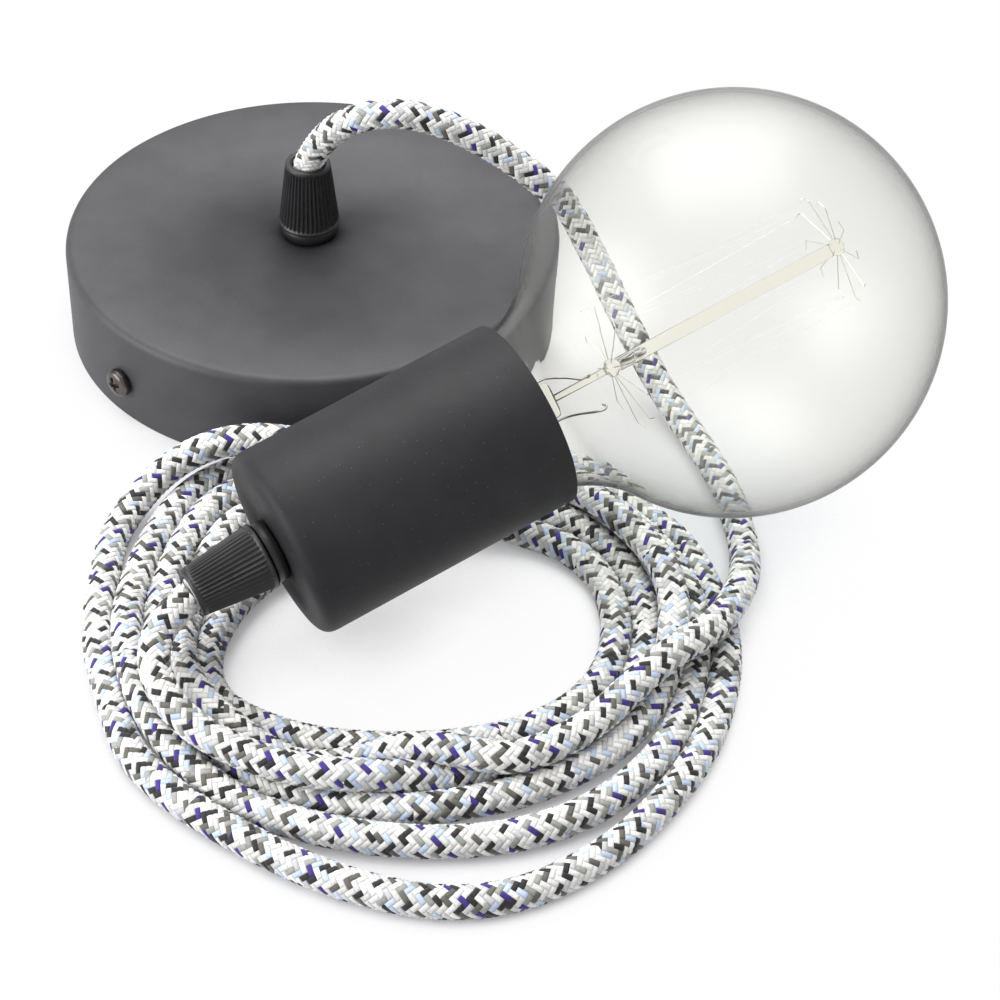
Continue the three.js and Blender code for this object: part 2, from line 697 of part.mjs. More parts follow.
// Everything from the cover to the contacts, on the bulb's axis with Z towards the cord.
function lampHolder(parent) {
  piece(parent, 'holder_cover', holderCover(), blackSteel());
  piece(parent, 'holder_dome', holderDome(), whitePlastic());
  piece(parent, 'threaded_skirt', threadedSkirt(), whitePlastic());
  piece(parent, 'contact_block', contactBlock(), whitePlastic());
  const strip = box(
    2 * (capThreadDia / 2 - capThreadDepth - 6 * contactThickness), contactWidth, contactThickness,
    0, 0, bulbTip + seatGap + contactThickness / 2,
  );
  piece(parent, 'centre_contact', tidy(strip), brass());
  piece(parent, 'side_contact', sideContact(), brass());
  const back = blockFace + contactBlockHeight + seatGap;
  [-1, 1].forEach((side, i) => {
    const screw = panScrew(3, blockScrewDia, blockScrewDia * 1.8, 1.8);
    piece(parent, `contact_screw_${i + 1}`, screw.translate(side * terminalRadius, 0, back), brass());
  });

  const grip = new THREE.Group();
  grip.position.z = coverEnd;
  parent.add(grip);
  cordGrip(grip, 'holder', coverWall + seatGap + domeWall, false);
  const tailEnd = coverEnd - gripStubLength;
  piece(grip, 'holder_cord_tail', cordTail(gripTip, gripTip + gripStubLength), textile());
  const screwTop = back + 1.8 + seatGap + coreDia / 2;
  const start = (coreDia + seatGap) / 2;
  const stripped = tailEnd - seatGap;
  const bend = (side) => [
    [side * start, 0, stripped],
    [side * start, 0, stripped - coreDia / 2],
    [side * terminalRadius * 0.36, 0.5, (stripped + screwTop) / 2 - coreDia * 0.15],
    [side * terminalRadius * 0.7, 0.7, screwTop + 0.5],
    [side * terminalRadius, 0.2, screwTop],
  ];
  const core = (name, points, colour) =>
    piece(parent, name, sweep(points, coreDia, 8, 8), finish(coreColours[colour], 0.5, 0));
  core('holder_live_core', bend(-1), 'live');
  core('holder_neutral_core', bend(1), 'neutral');
}

// Glass globe: a thin shell, open where the cap closes it. The sphere flares into the neck by an arc
// that is tangent to both.
function glassGlobe() {
  const shell = (inset) => {
    const r = globeDia / 2 - inset;
    const neck = neckDia / 2 - inset;
    const flare = neckFlareRadius + inset;
    const throat = (capThreadDia / 2 - capThreadDepth - capWall - seatGap) / clear(1) - inset;
    const flareAt = Math.sqrt((r + flare) ** 2 - (neck + flare) ** 2);
    const touch = THREE.MathUtils.radToDeg(Math.asin((neck + flare) / (r + flare)));
    const shoulder = bulbCapStart - seatGap - flareAt + inset * 0.3;
    const taper = (t) => [throat + (neck - throat) * Math.cos(t), flareAt + shoulder * Math.sin(t)];
    return [
      ...arc(0, 0, r, -90, 90 - touch, 11).map(([x, z], i) => [i === 0 ? 0 : x, z]),
      ...arc(neck + flare, flareAt, flare, 270 - touch, 180, 4).slice(1),
      taper(Math.PI / 4),
      taper(Math.PI / 2),
      [throat, bulbCapStart + bulbCapLength * 0.4],
    ];
  };
  return revolve([...shell(0), ...shell(glassWall).reverse()], glassSides);
}

// Stem: a flared glass tube whose end is pinched flat between the lead wires.
function glassStem() {
  const mouth = capThreadDia / 2 - capThreadDepth - capWall - glassWall - 2 * seatGap;
  const foot = bulbCapStart + bulbCapLength * 0.3;
  const half = pinchWidth / 2;
  const round = (stemTop + foot) / 2;
  const stem = revolve([
    [0, stemTop],
    [half, stemTop],
    [half, stemTop + half],
    [mouth * 0.62, round],
    [mouth, foot],
    [mouth - glassWall, foot + glassWall / 2],
    [mouth * 0.62 - glassWall, round + glassWall],
    [0, stemTop + pinchWidth],
  ], threadSides);
  const at = stem.attributes.position;
  for (let i = 0; i < at.count; i++) {
    const pinched = THREE.MathUtils.smoothstep(-at.getZ(i), -round, -stemTop - pinchWidth / 2);
    at.setX(i, at.getX(i) * THREE.MathUtils.lerp(1, pinchThickness / pinchWidth, pinched));
  }
  return stem.rotateZ(rad(pinchAngle) - Math.PI / 2);
}

// Rod: thin from the stem to the lower button, then thicker up to the upper button.
function glassRod() {
  const thin = rodDia / 2;
  const thick = tubeDia / 2;
  const button = buttonDia / 2;
  const half = buttonLength / 2;
  const bead = (at) => [
    [button * 0.7, at - half],
    [button, at - half * 0.4],
    [button, at + half * 0.4],
    [button * 0.7, at + half],
  ];
  return revolve([
    [0, upperHub - half],
    ...bead(upperHub),
    [thick, upperHub + half + 0.6],
    [thick, lowerHub - half - 0.6],
    ...bead(lowerHub),
    [thin, lowerHub + half + 0.6],
    [thin, stemTop - seatGap],
    [0, stemTop - seatGap],
  ]);
}

// Where a star's hook takes the filament: its radius, angle and height.
const hookAt = (reach, hub, lean, turn) => {
  const t = turn + supportHookLength / reach / 2;
  const r = reach - supportHookLength / 4;
  return [r * Math.cos(t), r * Math.sin(t), hub + lean * 1.15];
};

// A star of support wires round a button, each ending in a hook.
function supportStar(hub, reach, lean, turn) {
  const collar = buttonDia / 2 + seatGap + supportWireDia / 2;
  const half = supportWireDia / 2;
  const hoop = tube(2 * (collar + half), 2 * (collar - half), hub - half, hub + half);
  const spokes = Array.from({ length: supportCount }, (_, i) => {
    const t = turn + (2 * Math.PI * i) / supportCount;
    const at = (r, more, z) => [r * Math.cos(t + more), r * Math.sin(t + more), hub + z];
    const bend = supportHookLength / reach;
    return wire([at(collar, 0, 0), at(reach - supportHookLength / 2, 0, lean), at(reach, bend, lean * 1.3)],
      supportWireDia);
  });
  return join(hoop, ...spokes);
}

// A place in the filament mount, by its angle in degrees, its distance from the axis and its height.
const inMount = (angle, r, z) => [r * Math.cos(rad(angle)), r * Math.sin(rad(angle)), z];

// A lead wire: along one edge of the pinched stem, then out to a hook that takes the end of the filament.
function leadWire(foot, [angle, reach]) {
  const hook = leadWireDia * 2;
  return wire([
    inMount(foot, leadFoot, stemTop + hook),
    inMount(foot, leadFoot, stemTop - hook),
    inMount(angle, reach, leadHookAt + hook),
    inMount(angle, reach, leadHookAt),
    inMount(angle, reach - hook, leadHookAt + hook * 0.6),
  ], leadWireDia, 6);
}

// The filament: one fine wire from lead to lead that zigzags round the long way between the two stars,
// with a small turn at each hook.
function filament() {
  const off = supportWireDia / 2 + seatGap + filamentDia / 2;
  const step = Math.PI / supportCount;
  const [first, last] = leadHooks.map(([angle]) => rad(angle));
  const end = ([angle, reach]) => inMount(angle, reach, leadHookAt - leadWireDia / 2 - seatGap - filamentDia);
  const corners = Math.round((2 * Math.PI - (last - first)) / step);
  const points = [end(leadHooks[0])];
  for (let k = 0; k <= corners; k++) {
    const low = k % 2 === 1;
    const [reach, hub, lean] = low
      ? [lowerSupportReach, lowerHub, -supportLean]
      : [upperSupportReach, upperHub, supportLean];
    const [x, y, z] = hookAt(reach, hub, lean, first - k * step);
    const half = filamentTurn / 2 / Math.hypot(x, y);
    points.push(...[half, -half].map((side) => [x - side * y, y + side * x, z + (low ? -off : off)]));
  }
  return wire([...points, end(leadHooks[1])], filamentDia);
}

// The bulb's metal cap: a thin shell with a rolled thread and an inturned end.
function bulbCap() {
  const mean = capThreadDia / 2 - capThreadDepth / 2;
  const inside = mean - capThreadDepth / 2 - capWall;
  const plain = (r, z) => ring(threadSides, () => r, z);
  const from = bulbCapStart + capThreadPitch / 2;
  const to = bulbCapEnd - capThreadPitch / 3;
  const threads = threadHeights(from, to).map((z) => ring(threadSides, (t) => threadRadius(mean, t, z), z));
  return loft([
    plain(inside, bulbCapStart),
    plain(capThreadDia / 2 + capLipWidth, bulbCapStart),
    plain(capThreadDia / 2 + capLipWidth, bulbCapStart + capWall),
    plain(mean - capThreadDepth / 2, from - capThreadPitch / 5),
    ...threads,
    plain(mean - capThreadDepth / 2, bulbCapEnd),
    plain(insulatorFoot + seatGap, bulbCapEnd),
    plain(insulatorFoot + seatGap, bulbCapEnd - capWall),
    plain(inside, bulbCapEnd - capWall),
  ]);
}

const insulatorFoot = capThreadDia / 2 - capThreadDepth - 7 * capWall;

// Everything that screws out of the holder in one hand.
function bulb(parent) {
  piece(parent, 'glass_globe', glassGlobe(), clearGlass());
  piece(parent, 'bulb_screw_cap', bulbCap(), brass());
  const insulator = revolve([
    [0, bulbCapEnd - capWall],
    [insulatorFoot, bulbCapEnd - capWall],
    [insulatorFoot, bulbCapEnd + 0.6],
    [tipDia / 2 + 0.4, bulbCapEnd + insulatorLength - seatGap],
    [0, bulbCapEnd + insulatorLength - seatGap],
  ], threadSides);
  piece(parent, 'cap_insulator', insulator, finish(0x1d1b22, 0.2, 0));
  const tip = revolve([
    [0, bulbCapEnd + insulatorLength],
    [tipDia / 2, bulbCapEnd + insulatorLength],
    [tipDia / 2, bulbTip - tipHeight / 2],
    [tipDia / 4, bulbTip],
    [0, bulbTip],
  ]);
  piece(parent, 'cap_tip_contact', tip, zincSteel());

  const mount = new THREE.Group();
  mount.rotation.z = rad(mountAngle);
  parent.add(mount);
  piece(mount, 'glass_stem', glassStem(), paleGlass());
  piece(mount, 'glass_rod', glassRod(), paleGlass());
  leadHooks.forEach((hook, i) => {
    const foot = pinchAngle + 180 * (i + 1);
    piece(mount, `lead_wire_${i + 1}`, leadWire(foot, hook), wireMetal());
  });
  piece(mount, 'lower_support_wires', supportStar(lowerHub, lowerSupportReach, -supportLean, 0), wireMetal());
  piece(mount, 'upper_support_wires', supportStar(upperHub, upperSupportReach, supportLean, Math.PI / supportCount), wireMetal());
  piece(mount, 'filament', filament(), wireMetal());
}

// The cord's run from the rose: up out of the grip, over in an arch, down behind the bulb, under it and
// round to the turns.
const roseRun = [
  [0, 0, roseHeight + gripTip + seatGap],
  [0.2, -0.3, 51], [3, -2, 57], [8, -4.5, 62], [15, -6.5, 65], [23, -7.5, 65.5], [31, -8, 63.5],
  [39, -8, 60], [46.5, -8, 55.5], [53, -8.2, 51], [60, -9.5, 45], [66, -11.5, 38.5], [71, -14.5, 31.5],
  [75.5, -18.5, 25], [79.5, -23, 19], [83.5, -28, 14], [87.5, -34, 9.5], [91.5, -40.5, 6.5],
  [95, -48, 4.5], [98.5, -56, 3.6], [101.5, -64, 3.5], [104.5, -73, 3.5], [106.6, -82, 3.7], [107.8, -89, 4.6],
];

// The run into the holder's grip, from the top of the turns.
const holderRun = [
  [-14, -156.5, 13.8], [-18.5, -151.8, 15.3], [-21.2, -146.5, 17.1], [-21.9, -141.4, 19], [-20.7, -137, 21],
];
const gripExit = 2.6; // how far the cord runs straight out of the grip

// The loose turns between them, as seen from their middle: in even steps round from +X, the inner and
// outer reach and the height of the pile.
const coilMiddle = [30, -112];
const coilStations = [
  [42.6, 76.2, 14.2], [41.6, 76, 9], [39.8, 76.4, 7.4], [36, 75.3, 9.5], [31.8, 66.5, 13.4], [30, 59, 14.2],
  [26.8, 55.2, 14.2], [24.6, 55.2, 14.2], [24.4, 57, 14.2], [24.8, 70.5, 12], [26.4, 77.5, 8], [29.4, 76, 7.4],
  [32.4, 73.2, 7.4], [38.6, 73, 9.4], [43, 73.8, 10.6], [43.4, 75.2, 9.4], [42.4, 77.4, 13.6], [40.4, 81.4, 14.2],
  [38.8, 85.4, 13.2], [38.6, 86.3, 14.1], [38.8, 85.8, 13.6], [39.6, 82.6, 13.2], [40.7, 79.8, 13.4],
  [41.8, 77.8, 14],
];
const coilBevel = 2.4;

// One closed skin round all the turns, with a bevelled section.
function cordCoil() {
  const rings = coilStations.map(([a, b, h], i) => {
    const t = (2 * Math.PI * i) / coilStations.length;
    const section = [
      [a, coilBevel], [a + coilBevel, 0], [b - coilBevel, 0], [b, coilBevel],
      [b, h - 2 * coilBevel], [b - 2 * coilBevel, h], [a + 2 * coilBevel, h], [a, h - 2 * coilBevel],
    ];
    return section.map(([r, z]) => v3(coilMiddle[0] + r * Math.cos(t), coilMiddle[1] + r * Math.sin(t), z));
  });
  return loft(rings);
}

function cord(parent, exit) {
  piece(parent, 'cord_to_rose', sweep(roseRun, cordDia, 10, 26), textile());
  piece(parent, 'cord_coil', cordCoil(), textile());
  piece(parent, 'cord_to_holder', sweep([...holderRun, ...exit], cordDia, 10, 10), textile());
}

const pendant = new THREE.Group();
pendant.add(ceilingRose());

// The bulb and holder share one axis, which points down towards the cord's end.
const holderAxis = new THREE.Group();
holderAxis.position.set(...bulbPlace, globeDia / 2 + cordDia + seatGap);
holderAxis.rotation.set(0, Math.PI / 2 - rad(axisTilt), rad(axisAzimuth), 'ZYX');
pendant.add(holderAxis);
bulb(holderAxis);
lampHolder(holderAxis);
holderAxis.updateMatrixWorld(true);
const onAxis = (past) => v3(0, 0, coverEnd + gripTip + past).applyMatrix4(holderAxis.matrixWorld).toArray();
cord(pendant, [gripExit, gripExit / 2, seatGap].map(onAxis));

export default pendant;
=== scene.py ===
# %% [markdown]
# # A pendant cord set
# The set lies as unpacked: a black ceiling rose on its rim, about two metres of braided textile cord in
# loose turns, and a black lamp holder with a large clear globe bulb that rests on the cord.
# The solid model is loaded first as a fixed frame. Each finer surface below is worked out with numpy in
# the same frame and takes the place of one plain solid.

# %% Load the solid model
import math
import bpy
import numpy as np
from mathutils import Matrix


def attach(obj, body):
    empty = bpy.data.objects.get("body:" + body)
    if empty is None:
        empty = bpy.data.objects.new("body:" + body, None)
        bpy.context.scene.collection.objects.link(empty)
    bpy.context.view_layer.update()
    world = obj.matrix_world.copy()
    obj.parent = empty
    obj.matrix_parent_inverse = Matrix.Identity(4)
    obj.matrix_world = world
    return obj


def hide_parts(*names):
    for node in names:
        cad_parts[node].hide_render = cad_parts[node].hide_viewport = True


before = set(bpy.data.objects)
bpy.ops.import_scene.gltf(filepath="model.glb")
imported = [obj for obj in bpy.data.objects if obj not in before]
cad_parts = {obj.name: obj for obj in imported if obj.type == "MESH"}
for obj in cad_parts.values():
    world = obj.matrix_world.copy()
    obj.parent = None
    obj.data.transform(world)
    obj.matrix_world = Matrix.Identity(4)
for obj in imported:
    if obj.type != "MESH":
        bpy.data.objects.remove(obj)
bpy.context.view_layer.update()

MM = 0.001

# %% [markdown]
# ## The camera
# The product was taken from above with a long lens, so its parallel edges hardly converge. The camera is
# turned a little about its own line of sight, as the picture is. A matrix built from the three viewing
# directions places it exactly, with no constraint to evaluate.

# %% Camera
ELEVATION = math.radians(41.2)
ROLL = math.radians(2.05)
LENS = 93.6  # mm, on a sensor 36 mm wide
VIEW_DISTANCE = 607.6  # mm from the point that is looked at
LOOKED_AT = np.array([49.5, -70.1, 0.0])

forward = np.array([0, math.cos(ELEVATION), -math.sin(ELEVATION)])
right = np.array([1.0, 0, 0])
upward = np.array([0, math.sin(ELEVATION), math.cos(ELEVATION)])
camera_x = math.cos(ROLL) * right + math.sin(ROLL) * upward
camera_y = math.cos(ROLL) * upward - math.sin(ROLL) * right
camera_at = (LOOKED_AT - VIEW_DISTANCE * forward) * MM

camera = bpy.data.objects.new("product_camera", bpy.data.cameras.new("product_camera"))
camera.data.lens = LENS
camera.data.sensor_width = 36
camera.data.clip_start = 0.01
pose = np.eye(4)
pose[:3, 0], pose[:3, 1], pose[:3, 2], pose[:3, 3] = camera_x, camera_y, -forward, camera_at
camera.matrix_world = Matrix(pose.tolist())
bpy.context.scene.collection.objects.link(camera)
bpy.context.scene.camera = camera

# %% [markdown]
# ## Small helpers
# Each surface is a grid of points: one index runs along a profile or a path, the other runs round it.
# The grid goes into a mesh as whole arrays, which is quick also for a long braided cord.

# %% Helpers for meshes
def quads(rows, cols, wrap_rows=False, wrap_cols=True):
    """Corner numbers of the four-sided faces of a grid of points, row after row."""
    r = np.arange(rows if wrap_rows else rows - 1)[:, None]
    c = np.arange(cols if wrap_cols else cols - 1)[None, :]
    r2, c2 = (r + 1) % rows, (c + 1) % cols
    return np.stack([r * cols + c, r * cols + c2, r2 * cols + c2, r2 * cols + c], -1).reshape(-1, 4)


def signed_volume(points, faces):
    """Six times the volume inside a closed mesh: the sum of triple products of its triangles."""
    a, b, c, d = (points[faces[:, k]] for k in range(4))
    one = np.einsum("ij,ij->i", a, np.cross(b, c))
    two = np.einsum("ij,ij->i", a, np.cross(c, d))
    return float((one + two).sum())


def build(name, points, faces, material, uv=None, caps=()):
    """A smooth-shaded object at the origin from points in mm, four-sided faces and capping rings."""
    points = np.asarray(points, float).reshape(-1, 3)
    flip = signed_volume(points, faces) < 0
    corners = faces[:, ::-1] if flip else faces
    rings = [list(ring) if flip else list(ring)[::-1] for ring in caps]
    mesh = bpy.data.meshes.new(name)
    mesh.vertices.add(len(points))
    mesh.vertices.foreach_set("co", (points * MM).astype(np.float32).ravel())
    ring_corners = [i for ring in rings for i in ring]
    mesh.loops.add(corners.size + len(ring_corners))
    mesh.loops.foreach_set("vertex_index", np.r_[corners.ravel(), ring_corners].astype(np.int32))
    sizes = np.r_[np.full(len(corners), 4), [len(ring) for ring in rings]].astype(np.int32)
    mesh.polygons.add(len(sizes))
    mesh.polygons.foreach_set("loop_start", np.r_[0, np.cumsum(sizes)[:-1]].astype(np.int32))
    mesh.polygons.foreach_set("use_smooth", np.ones(len(sizes), bool))
    if uv is not None:
        layer = mesh.uv_layers.new(name="UVMap")
        flat = uv[:, ::-1] if flip else uv
        filler = np.zeros((len(ring_corners), 2))
        layer.data.foreach_set("uv", np.r_[flat.reshape(-1, 2), filler].astype(np.float32).ravel())
    mesh.update(calc_edges=True)
    mesh.validate()
    mesh.materials.append(material)
    piece = bpy.data.objects.new(name, mesh)
    bpy.context.scene.collection.objects.link(piece)
    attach(piece, "root")
    return piece


def merged(piece, distance=1e-7):
    """Close the poles and seams of a piece, where several points share one place."""
    import bmesh
    work = bmesh.new()
    work.from_mesh(piece.data)
    bmesh.ops.remove_doubles(work, verts=work.verts, dist=distance)
    bmesh.ops.dissolve_degenerate(work, edges=work.edges, dist=distance)
    work.to_mesh(piece.data)
    work.free()
    return piece


def rounded(profile, radii, steps=6):
    """A profile of (radius, height) corners whose corners are rounded.

    Each corner is replaced by a quadratic curve that starts and ends at the given distance from it.
    """
    corners = np.asarray(profile, float)
    out = []
    for k, corner in enumerate(corners):
        reach = radii[k] if k < len(radii) else 0
        if not reach or k in (0, len(corners) - 1):
            out.append(corner[None])
            continue
        before, after = corners[k - 1] - corner, corners[k + 1] - corner
        start = corner + before / np.linalg.norm(before) * min(reach, np.linalg.norm(before) * 0.5)
        end = corner + after / np.linalg.norm(after) * min(reach, np.linalg.norm(after) * 0.5)
        t = np.linspace(0, 1, steps)[:, None]
        out.append((1 - t) ** 2 * start + 2 * t * (1 - t) * corner + t ** 2 * end)
    return np.concatenate(out)


def turned(name, profile, place, material, sides=96, closed=True):
    """A profile of (radius, height) turned about the local Z and moved by place, a function of points.

    Each point of the profile becomes a ring (r cos t, r sin t, h).
    """
    r, h = np.asarray(profile, float).T
    t = np.linspace(0, 2 * np.pi, sides, endpoint=False)
    grid = np.stack([r[:, None] * np.cos(t), r[:, None] * np.sin(t), h[:, None] + 0 * t], -1)
    faces = quads(len(r), sides, wrap_rows=closed)
    piece = build(name, place(grid.reshape(-1, 3)), faces, material)
    return merged(piece)


def spline(knots, step):
    """Points every step along the natural cubic curve through the knots, by its second derivatives."""
    knots = np.asarray(knots, float)
    span = np.linalg.norm(np.diff(knots, axis=0), axis=1)
    at = np.r_[0, np.cumsum(span)]
    slope = np.diff(knots, axis=0) / span[:, None]
    n = len(knots)
    system, right_side = np.eye(n), np.zeros((n, 3))
    i = np.arange(1, n - 1)
    system[i, i - 1], system[i, i], system[i, i + 1] = span[:-1], 2 * (span[:-1] + span[1:]), span[1:]
    right_side[1:-1] = 6 * np.diff(slope, axis=0)
    bend = np.linalg.solve(system, right_side)
    where = np.linspace(0, at[-1], max(2, int(round(at[-1] / step)) + 1))
    k = np.clip(np.searchsorted(at, where, "right") - 1, 0, n - 2)
    u, width = (where - at[k])[:, None], span[k][:, None]
    curve = knots[k] + u * (slope[k] - width * (2 * bend[k] + bend[k + 1]) / 6)
    return curve + u ** 2 * bend[k] / 2 + u ** 3 * (bend[k + 1] - bend[k]) / (6 * width)


def even(path, count):
    """The same path in a given number of equal steps."""
    run = np.r_[0, np.cumsum(np.linalg.norm(np.diff(path, axis=0), axis=1))]
    return np.stack([np.interp(np.linspace(0, run[-1], count + 1), run, path[:, k]) for k in range(3)], -1)


def frames(path):
    """Two directions square to a path at each point, carried along it without twist.

    Each step turns the pair by the rotation that takes one tangent to the next.
    """
    tangent = np.gradient(path, axis=0)
    tangent /= np.linalg.norm(tangent, axis=1)[:, None]
    side = np.cross(tangent[0], [0, 0, 1.0])
    if np.linalg.norm(side) < 0.1:
        side = np.cross(tangent[0], [0, 1.0, 0])
    sides = [side / np.linalg.norm(side)]
    for direction in tangent[1:]:
        side = sides[-1] - direction * np.dot(sides[-1], direction)
        sides.append(side / np.linalg.norm(side))
    sides = np.array(sides)
    return sides, np.cross(tangent, sides), tangent


def pipe(path, radius, sides):
    """A round tube along a path: its points, its faces and its two end rings."""
    u, v, _ = frames(path)
    t = np.linspace(0, 2 * np.pi, sides, endpoint=False)
    r = np.broadcast_to(np.asarray(radius, float), (len(path),))[:, None, None]
    grid = path[:, None] + r * (np.cos(t)[:, None] * u[:, None] + np.sin(t)[:, None] * v[:, None])
    ends = [range(sides)[::-1], range((len(path) - 1) * sides, len(path) * sides)]
    return grid.reshape(-1, 3), quads(len(path), sides), [list(e) for e in ends]


def bundle(name, pipes, place, material):
    """Several separate tubes in one piece, as a set of wires is."""
    points, faces, caps, count = [], [], [], 0
    for p, f, ends in pipes:
        points.append(p)
        faces.append(f + count)
        caps += [[i + count for i in ring] for ring in ends]
        count += len(p)
    return build(name, place(np.concatenate(points)), np.concatenate(faces), material, caps=caps)

# %% [markdown]
# ## Materials
# Colours are written as hex values, as a designer picks them from a picture, and turned to the linear
# values that light is reckoned in. One helper adds a node, sets its sockets and links them.

# %% Helpers for materials
def linear(code):
    """An sRGB hex colour as linear RGBA."""
    c = np.array([int(code[i:i + 2], 16) for i in (1, 3, 5)]) / 255
    rgb = np.where(c <= 0.04045, c / 12.92, ((c + 0.055) / 1.055) ** 2.4)
    return (*map(float, rgb), 1.0)


def add(tree, kind, *values, use=None, **sockets):
    """Add a node and return it. Its kind is a node's type or the operation of a Math node.

    Values go to the first sockets in turn and named ones to the sockets of those names. A value is a
    number, a colour, a socket, or a node for its first output. The node's own settings are in use.
    """
    is_math = not kind.startswith("ShaderNode")
    node = tree.nodes.new("ShaderNodeMath" if is_math else kind)
    for key, value in ({"operation": kind} if is_math else use or {}).items():
        setattr(node, key, value)
    for key, value in [*enumerate(values), *sockets.items()]:
        socket = node.inputs[key if isinstance(key, int) else key.replace("_", " ")]
        if isinstance(value, bpy.types.Node):
            value = value.outputs[0]
        if isinstance(value, bpy.types.NodeSocket):
            tree.links.new(value, socket)
        else:
            socket.default_value = value
    return node


def surface(name):
    """A new material with its principled shader: the tree, the shader and the object coordinates."""
    material = bpy.data.materials.new(name)
    material.use_nodes = True
    tree = material.node_tree
    shader = next(n for n in tree.nodes if n.type == "BSDF_PRINCIPLED")
    place = add(tree, "ShaderNodeTexCoord")
    return material, tree, shader, place.outputs["Object"]


def two_tone(tree, value, low, high, start, end):
    """A colour that goes from low to high while the value goes from start to end."""
    ramp = add(tree, "ShaderNodeValToRGB", value)
    for stop, position, code in zip(ramp.color_ramp.elements, (start, end), (low, high)):
        stop.position, stop.color = position, linear(code)
    return ramp


def mottled(tree, coordinates, spacing, low, high):
    """A soft noise between two colours, whose patches are about the given spacing in mm."""
    noise = add(tree, "ShaderNodeTexNoise", Vector=coordinates, Scale=1 / (spacing * MM), Detail=3.0)
    return two_tone(tree, noise, low, high, 0.35, 0.65)


def dress(tree, shader, height, distance, strength=1.0, **inputs):
    """Link a shader's inputs, and let a height in the range 0 to 1 tilt it, by a distance in mm."""
    bump = add(tree, "ShaderNodeBump", Height=height, Distance=distance * MM, Strength=strength)
    for name, node in {**inputs, "Normal": bump}.items():
        tree.links.new(node.outputs[0], shader.inputs[name.replace("_", " ")])


def to_output(tree, node):
    """Let a node take the principled shader's place as the material's surface."""
    out = next(n for n in tree.nodes if n.type == "OUTPUT_MATERIAL")
    tree.links.new(node.outputs[0], out.inputs["Surface"])


def grained(name, low, high, roughness, metallic=0.0, patch=6.0, grain=0.5, depth=0.01):
    """A plain finish: two close colours in soft patches, and a fine grain in the gloss and the relief."""
    material, tree, shader, where = surface(name)
    fine = add(tree, "ShaderNodeTexNoise", Vector=where, Scale=1 / (grain * MM), Detail=2.0)
    rough = add(tree, "ShaderNodeMapRange", Value=fine, To_Min=roughness - 0.08, To_Max=roughness + 0.08)
    shader.inputs["Metallic"].default_value = metallic
    dress(tree, shader, fine, depth, Base_Color=mottled(tree, where, patch, low, high), Roughness=rough)
    return material

# %% [markdown]
# ### Powder coat
# The rose and the holder's cover are drawn steel with a baked powder coat. The powder melts to a skin
# that stays very slightly uneven, so the gloss is broad and soft, with a fine grain and a few pale specks.
# The rose's coat is glossier than the cover's, and paler: the cover's darker colour is partly its own and partly
# painted shade for the dimmer light on its sides.

# %% Powder coat
def powder_coat(name, low, high, specular):
    """Patches 9 mm wide, pale specks 0.2 mm wide in cells of 1.6 mm, and a grain of 0.35 and 1.4 mm."""
    material, tree, shader, where = surface(name)
    cells = add(tree, "ShaderNodeTexVoronoi", Vector=where, Scale=1 / (1.6 * MM))
    speck = add(tree, "MULTIPLY", add(tree, "LESS_THAN", cells, 0.06), 0.35)
    mix = add(tree, "ShaderNodeMix", speck, use={"data_type": "RGBA"})
    tree.links.new(mottled(tree, where, 9.0, low, high).outputs[0], mix.inputs[6])
    mix.inputs[7].default_value = linear("#8a8a8c")
    tree.links.new(mix.outputs[2], shader.inputs["Base Color"])
    fine = add(tree, "ShaderNodeTexNoise", Vector=where, Scale=1 / (0.35 * MM), Detail=3.0)
    wide = add(tree, "ShaderNodeTexNoise", Vector=where, Scale=1 / (1.4 * MM), Detail=1.0)
    rough = add(tree, "ShaderNodeMapRange", Value=fine, To_Min=0.46, To_Max=0.62)
    shader.inputs["Specular IOR Level"].default_value = specular
    dress(tree, shader, add(tree, "ADD", fine, wide), 0.012, Roughness=rough)
    return material

# %% [markdown]
# ### Plastics, metals and wires
# Moulded nylon has a soft gloss and no metal. Zinc and brass parts were plated or turned, which shows as a
# fairly sharp metal gloss with a fine grain. The finest wires are paler than the leads, as in the photo.
# The cap's glass is nearly black and glossy. The cores are extruded plastic in the usual colours.

# %% Coats, plastics and metals
ROSE_COAT = powder_coat("black powder coat", "#353437", "#3b3a3d", 0.5)
# the cover's coat is darker than the rose's partly as painted shade; its lower gloss is its own
COVER_COAT_WITH_PAINTED_SHADE = powder_coat("matt black powder coat with painted shade", "#252426", "#2a292b", 0.22)
NYLON = grained("moulded black nylon", "#1a1a1c", "#212123", 0.42, patch=4, grain=0.6, depth=0.012)
GUNMETAL = grained("blackened zinc plate", "#55504f", "#6b6664", 0.34, 1.0, patch=2, grain=0.8, depth=0.01)
ZINC = grained("bright zinc plate", "#b9bcbf", "#cfd1d2", 0.33, 1.0, patch=5, grain=0.7, depth=0.008)
BRASS = grained("turned brass", "#c9a55c", "#d8b66c", 0.3, 1.0, patch=4, grain=0.6, depth=0.006)
WHITE = grained("white polyester moulding", "#e4e3de", "#edece8", 0.42, patch=8, grain=0.9, depth=0.01)
WIRE = grained("drawn steel wire", "#8e8d86", "#a5a49b", 0.34, 1.0, patch=1.5, grain=0.3, depth=0.004)
FINE_WIRE = grained("fine bright wire", "#cfcec8", "#dddcd6", 0.4, 0.8, patch=1.5, grain=0.3, depth=0.003)
VITRITE = grained("black cap glass", "#17151b", "#211f26", 0.16, patch=3, grain=0.8, depth=0.004)
SLEEVE = grained("cut braid inside a grip", "#c9c9cc", "#dededf", 0.8, patch=1.5, grain=0.5, depth=0.05)
BROWN = grained("brown core insulation", "#5e3a24", "#6b432b", 0.4, patch=3)
BLUE = grained("blue core insulation", "#2f5f9c", "#386cab", 0.4, patch=3)


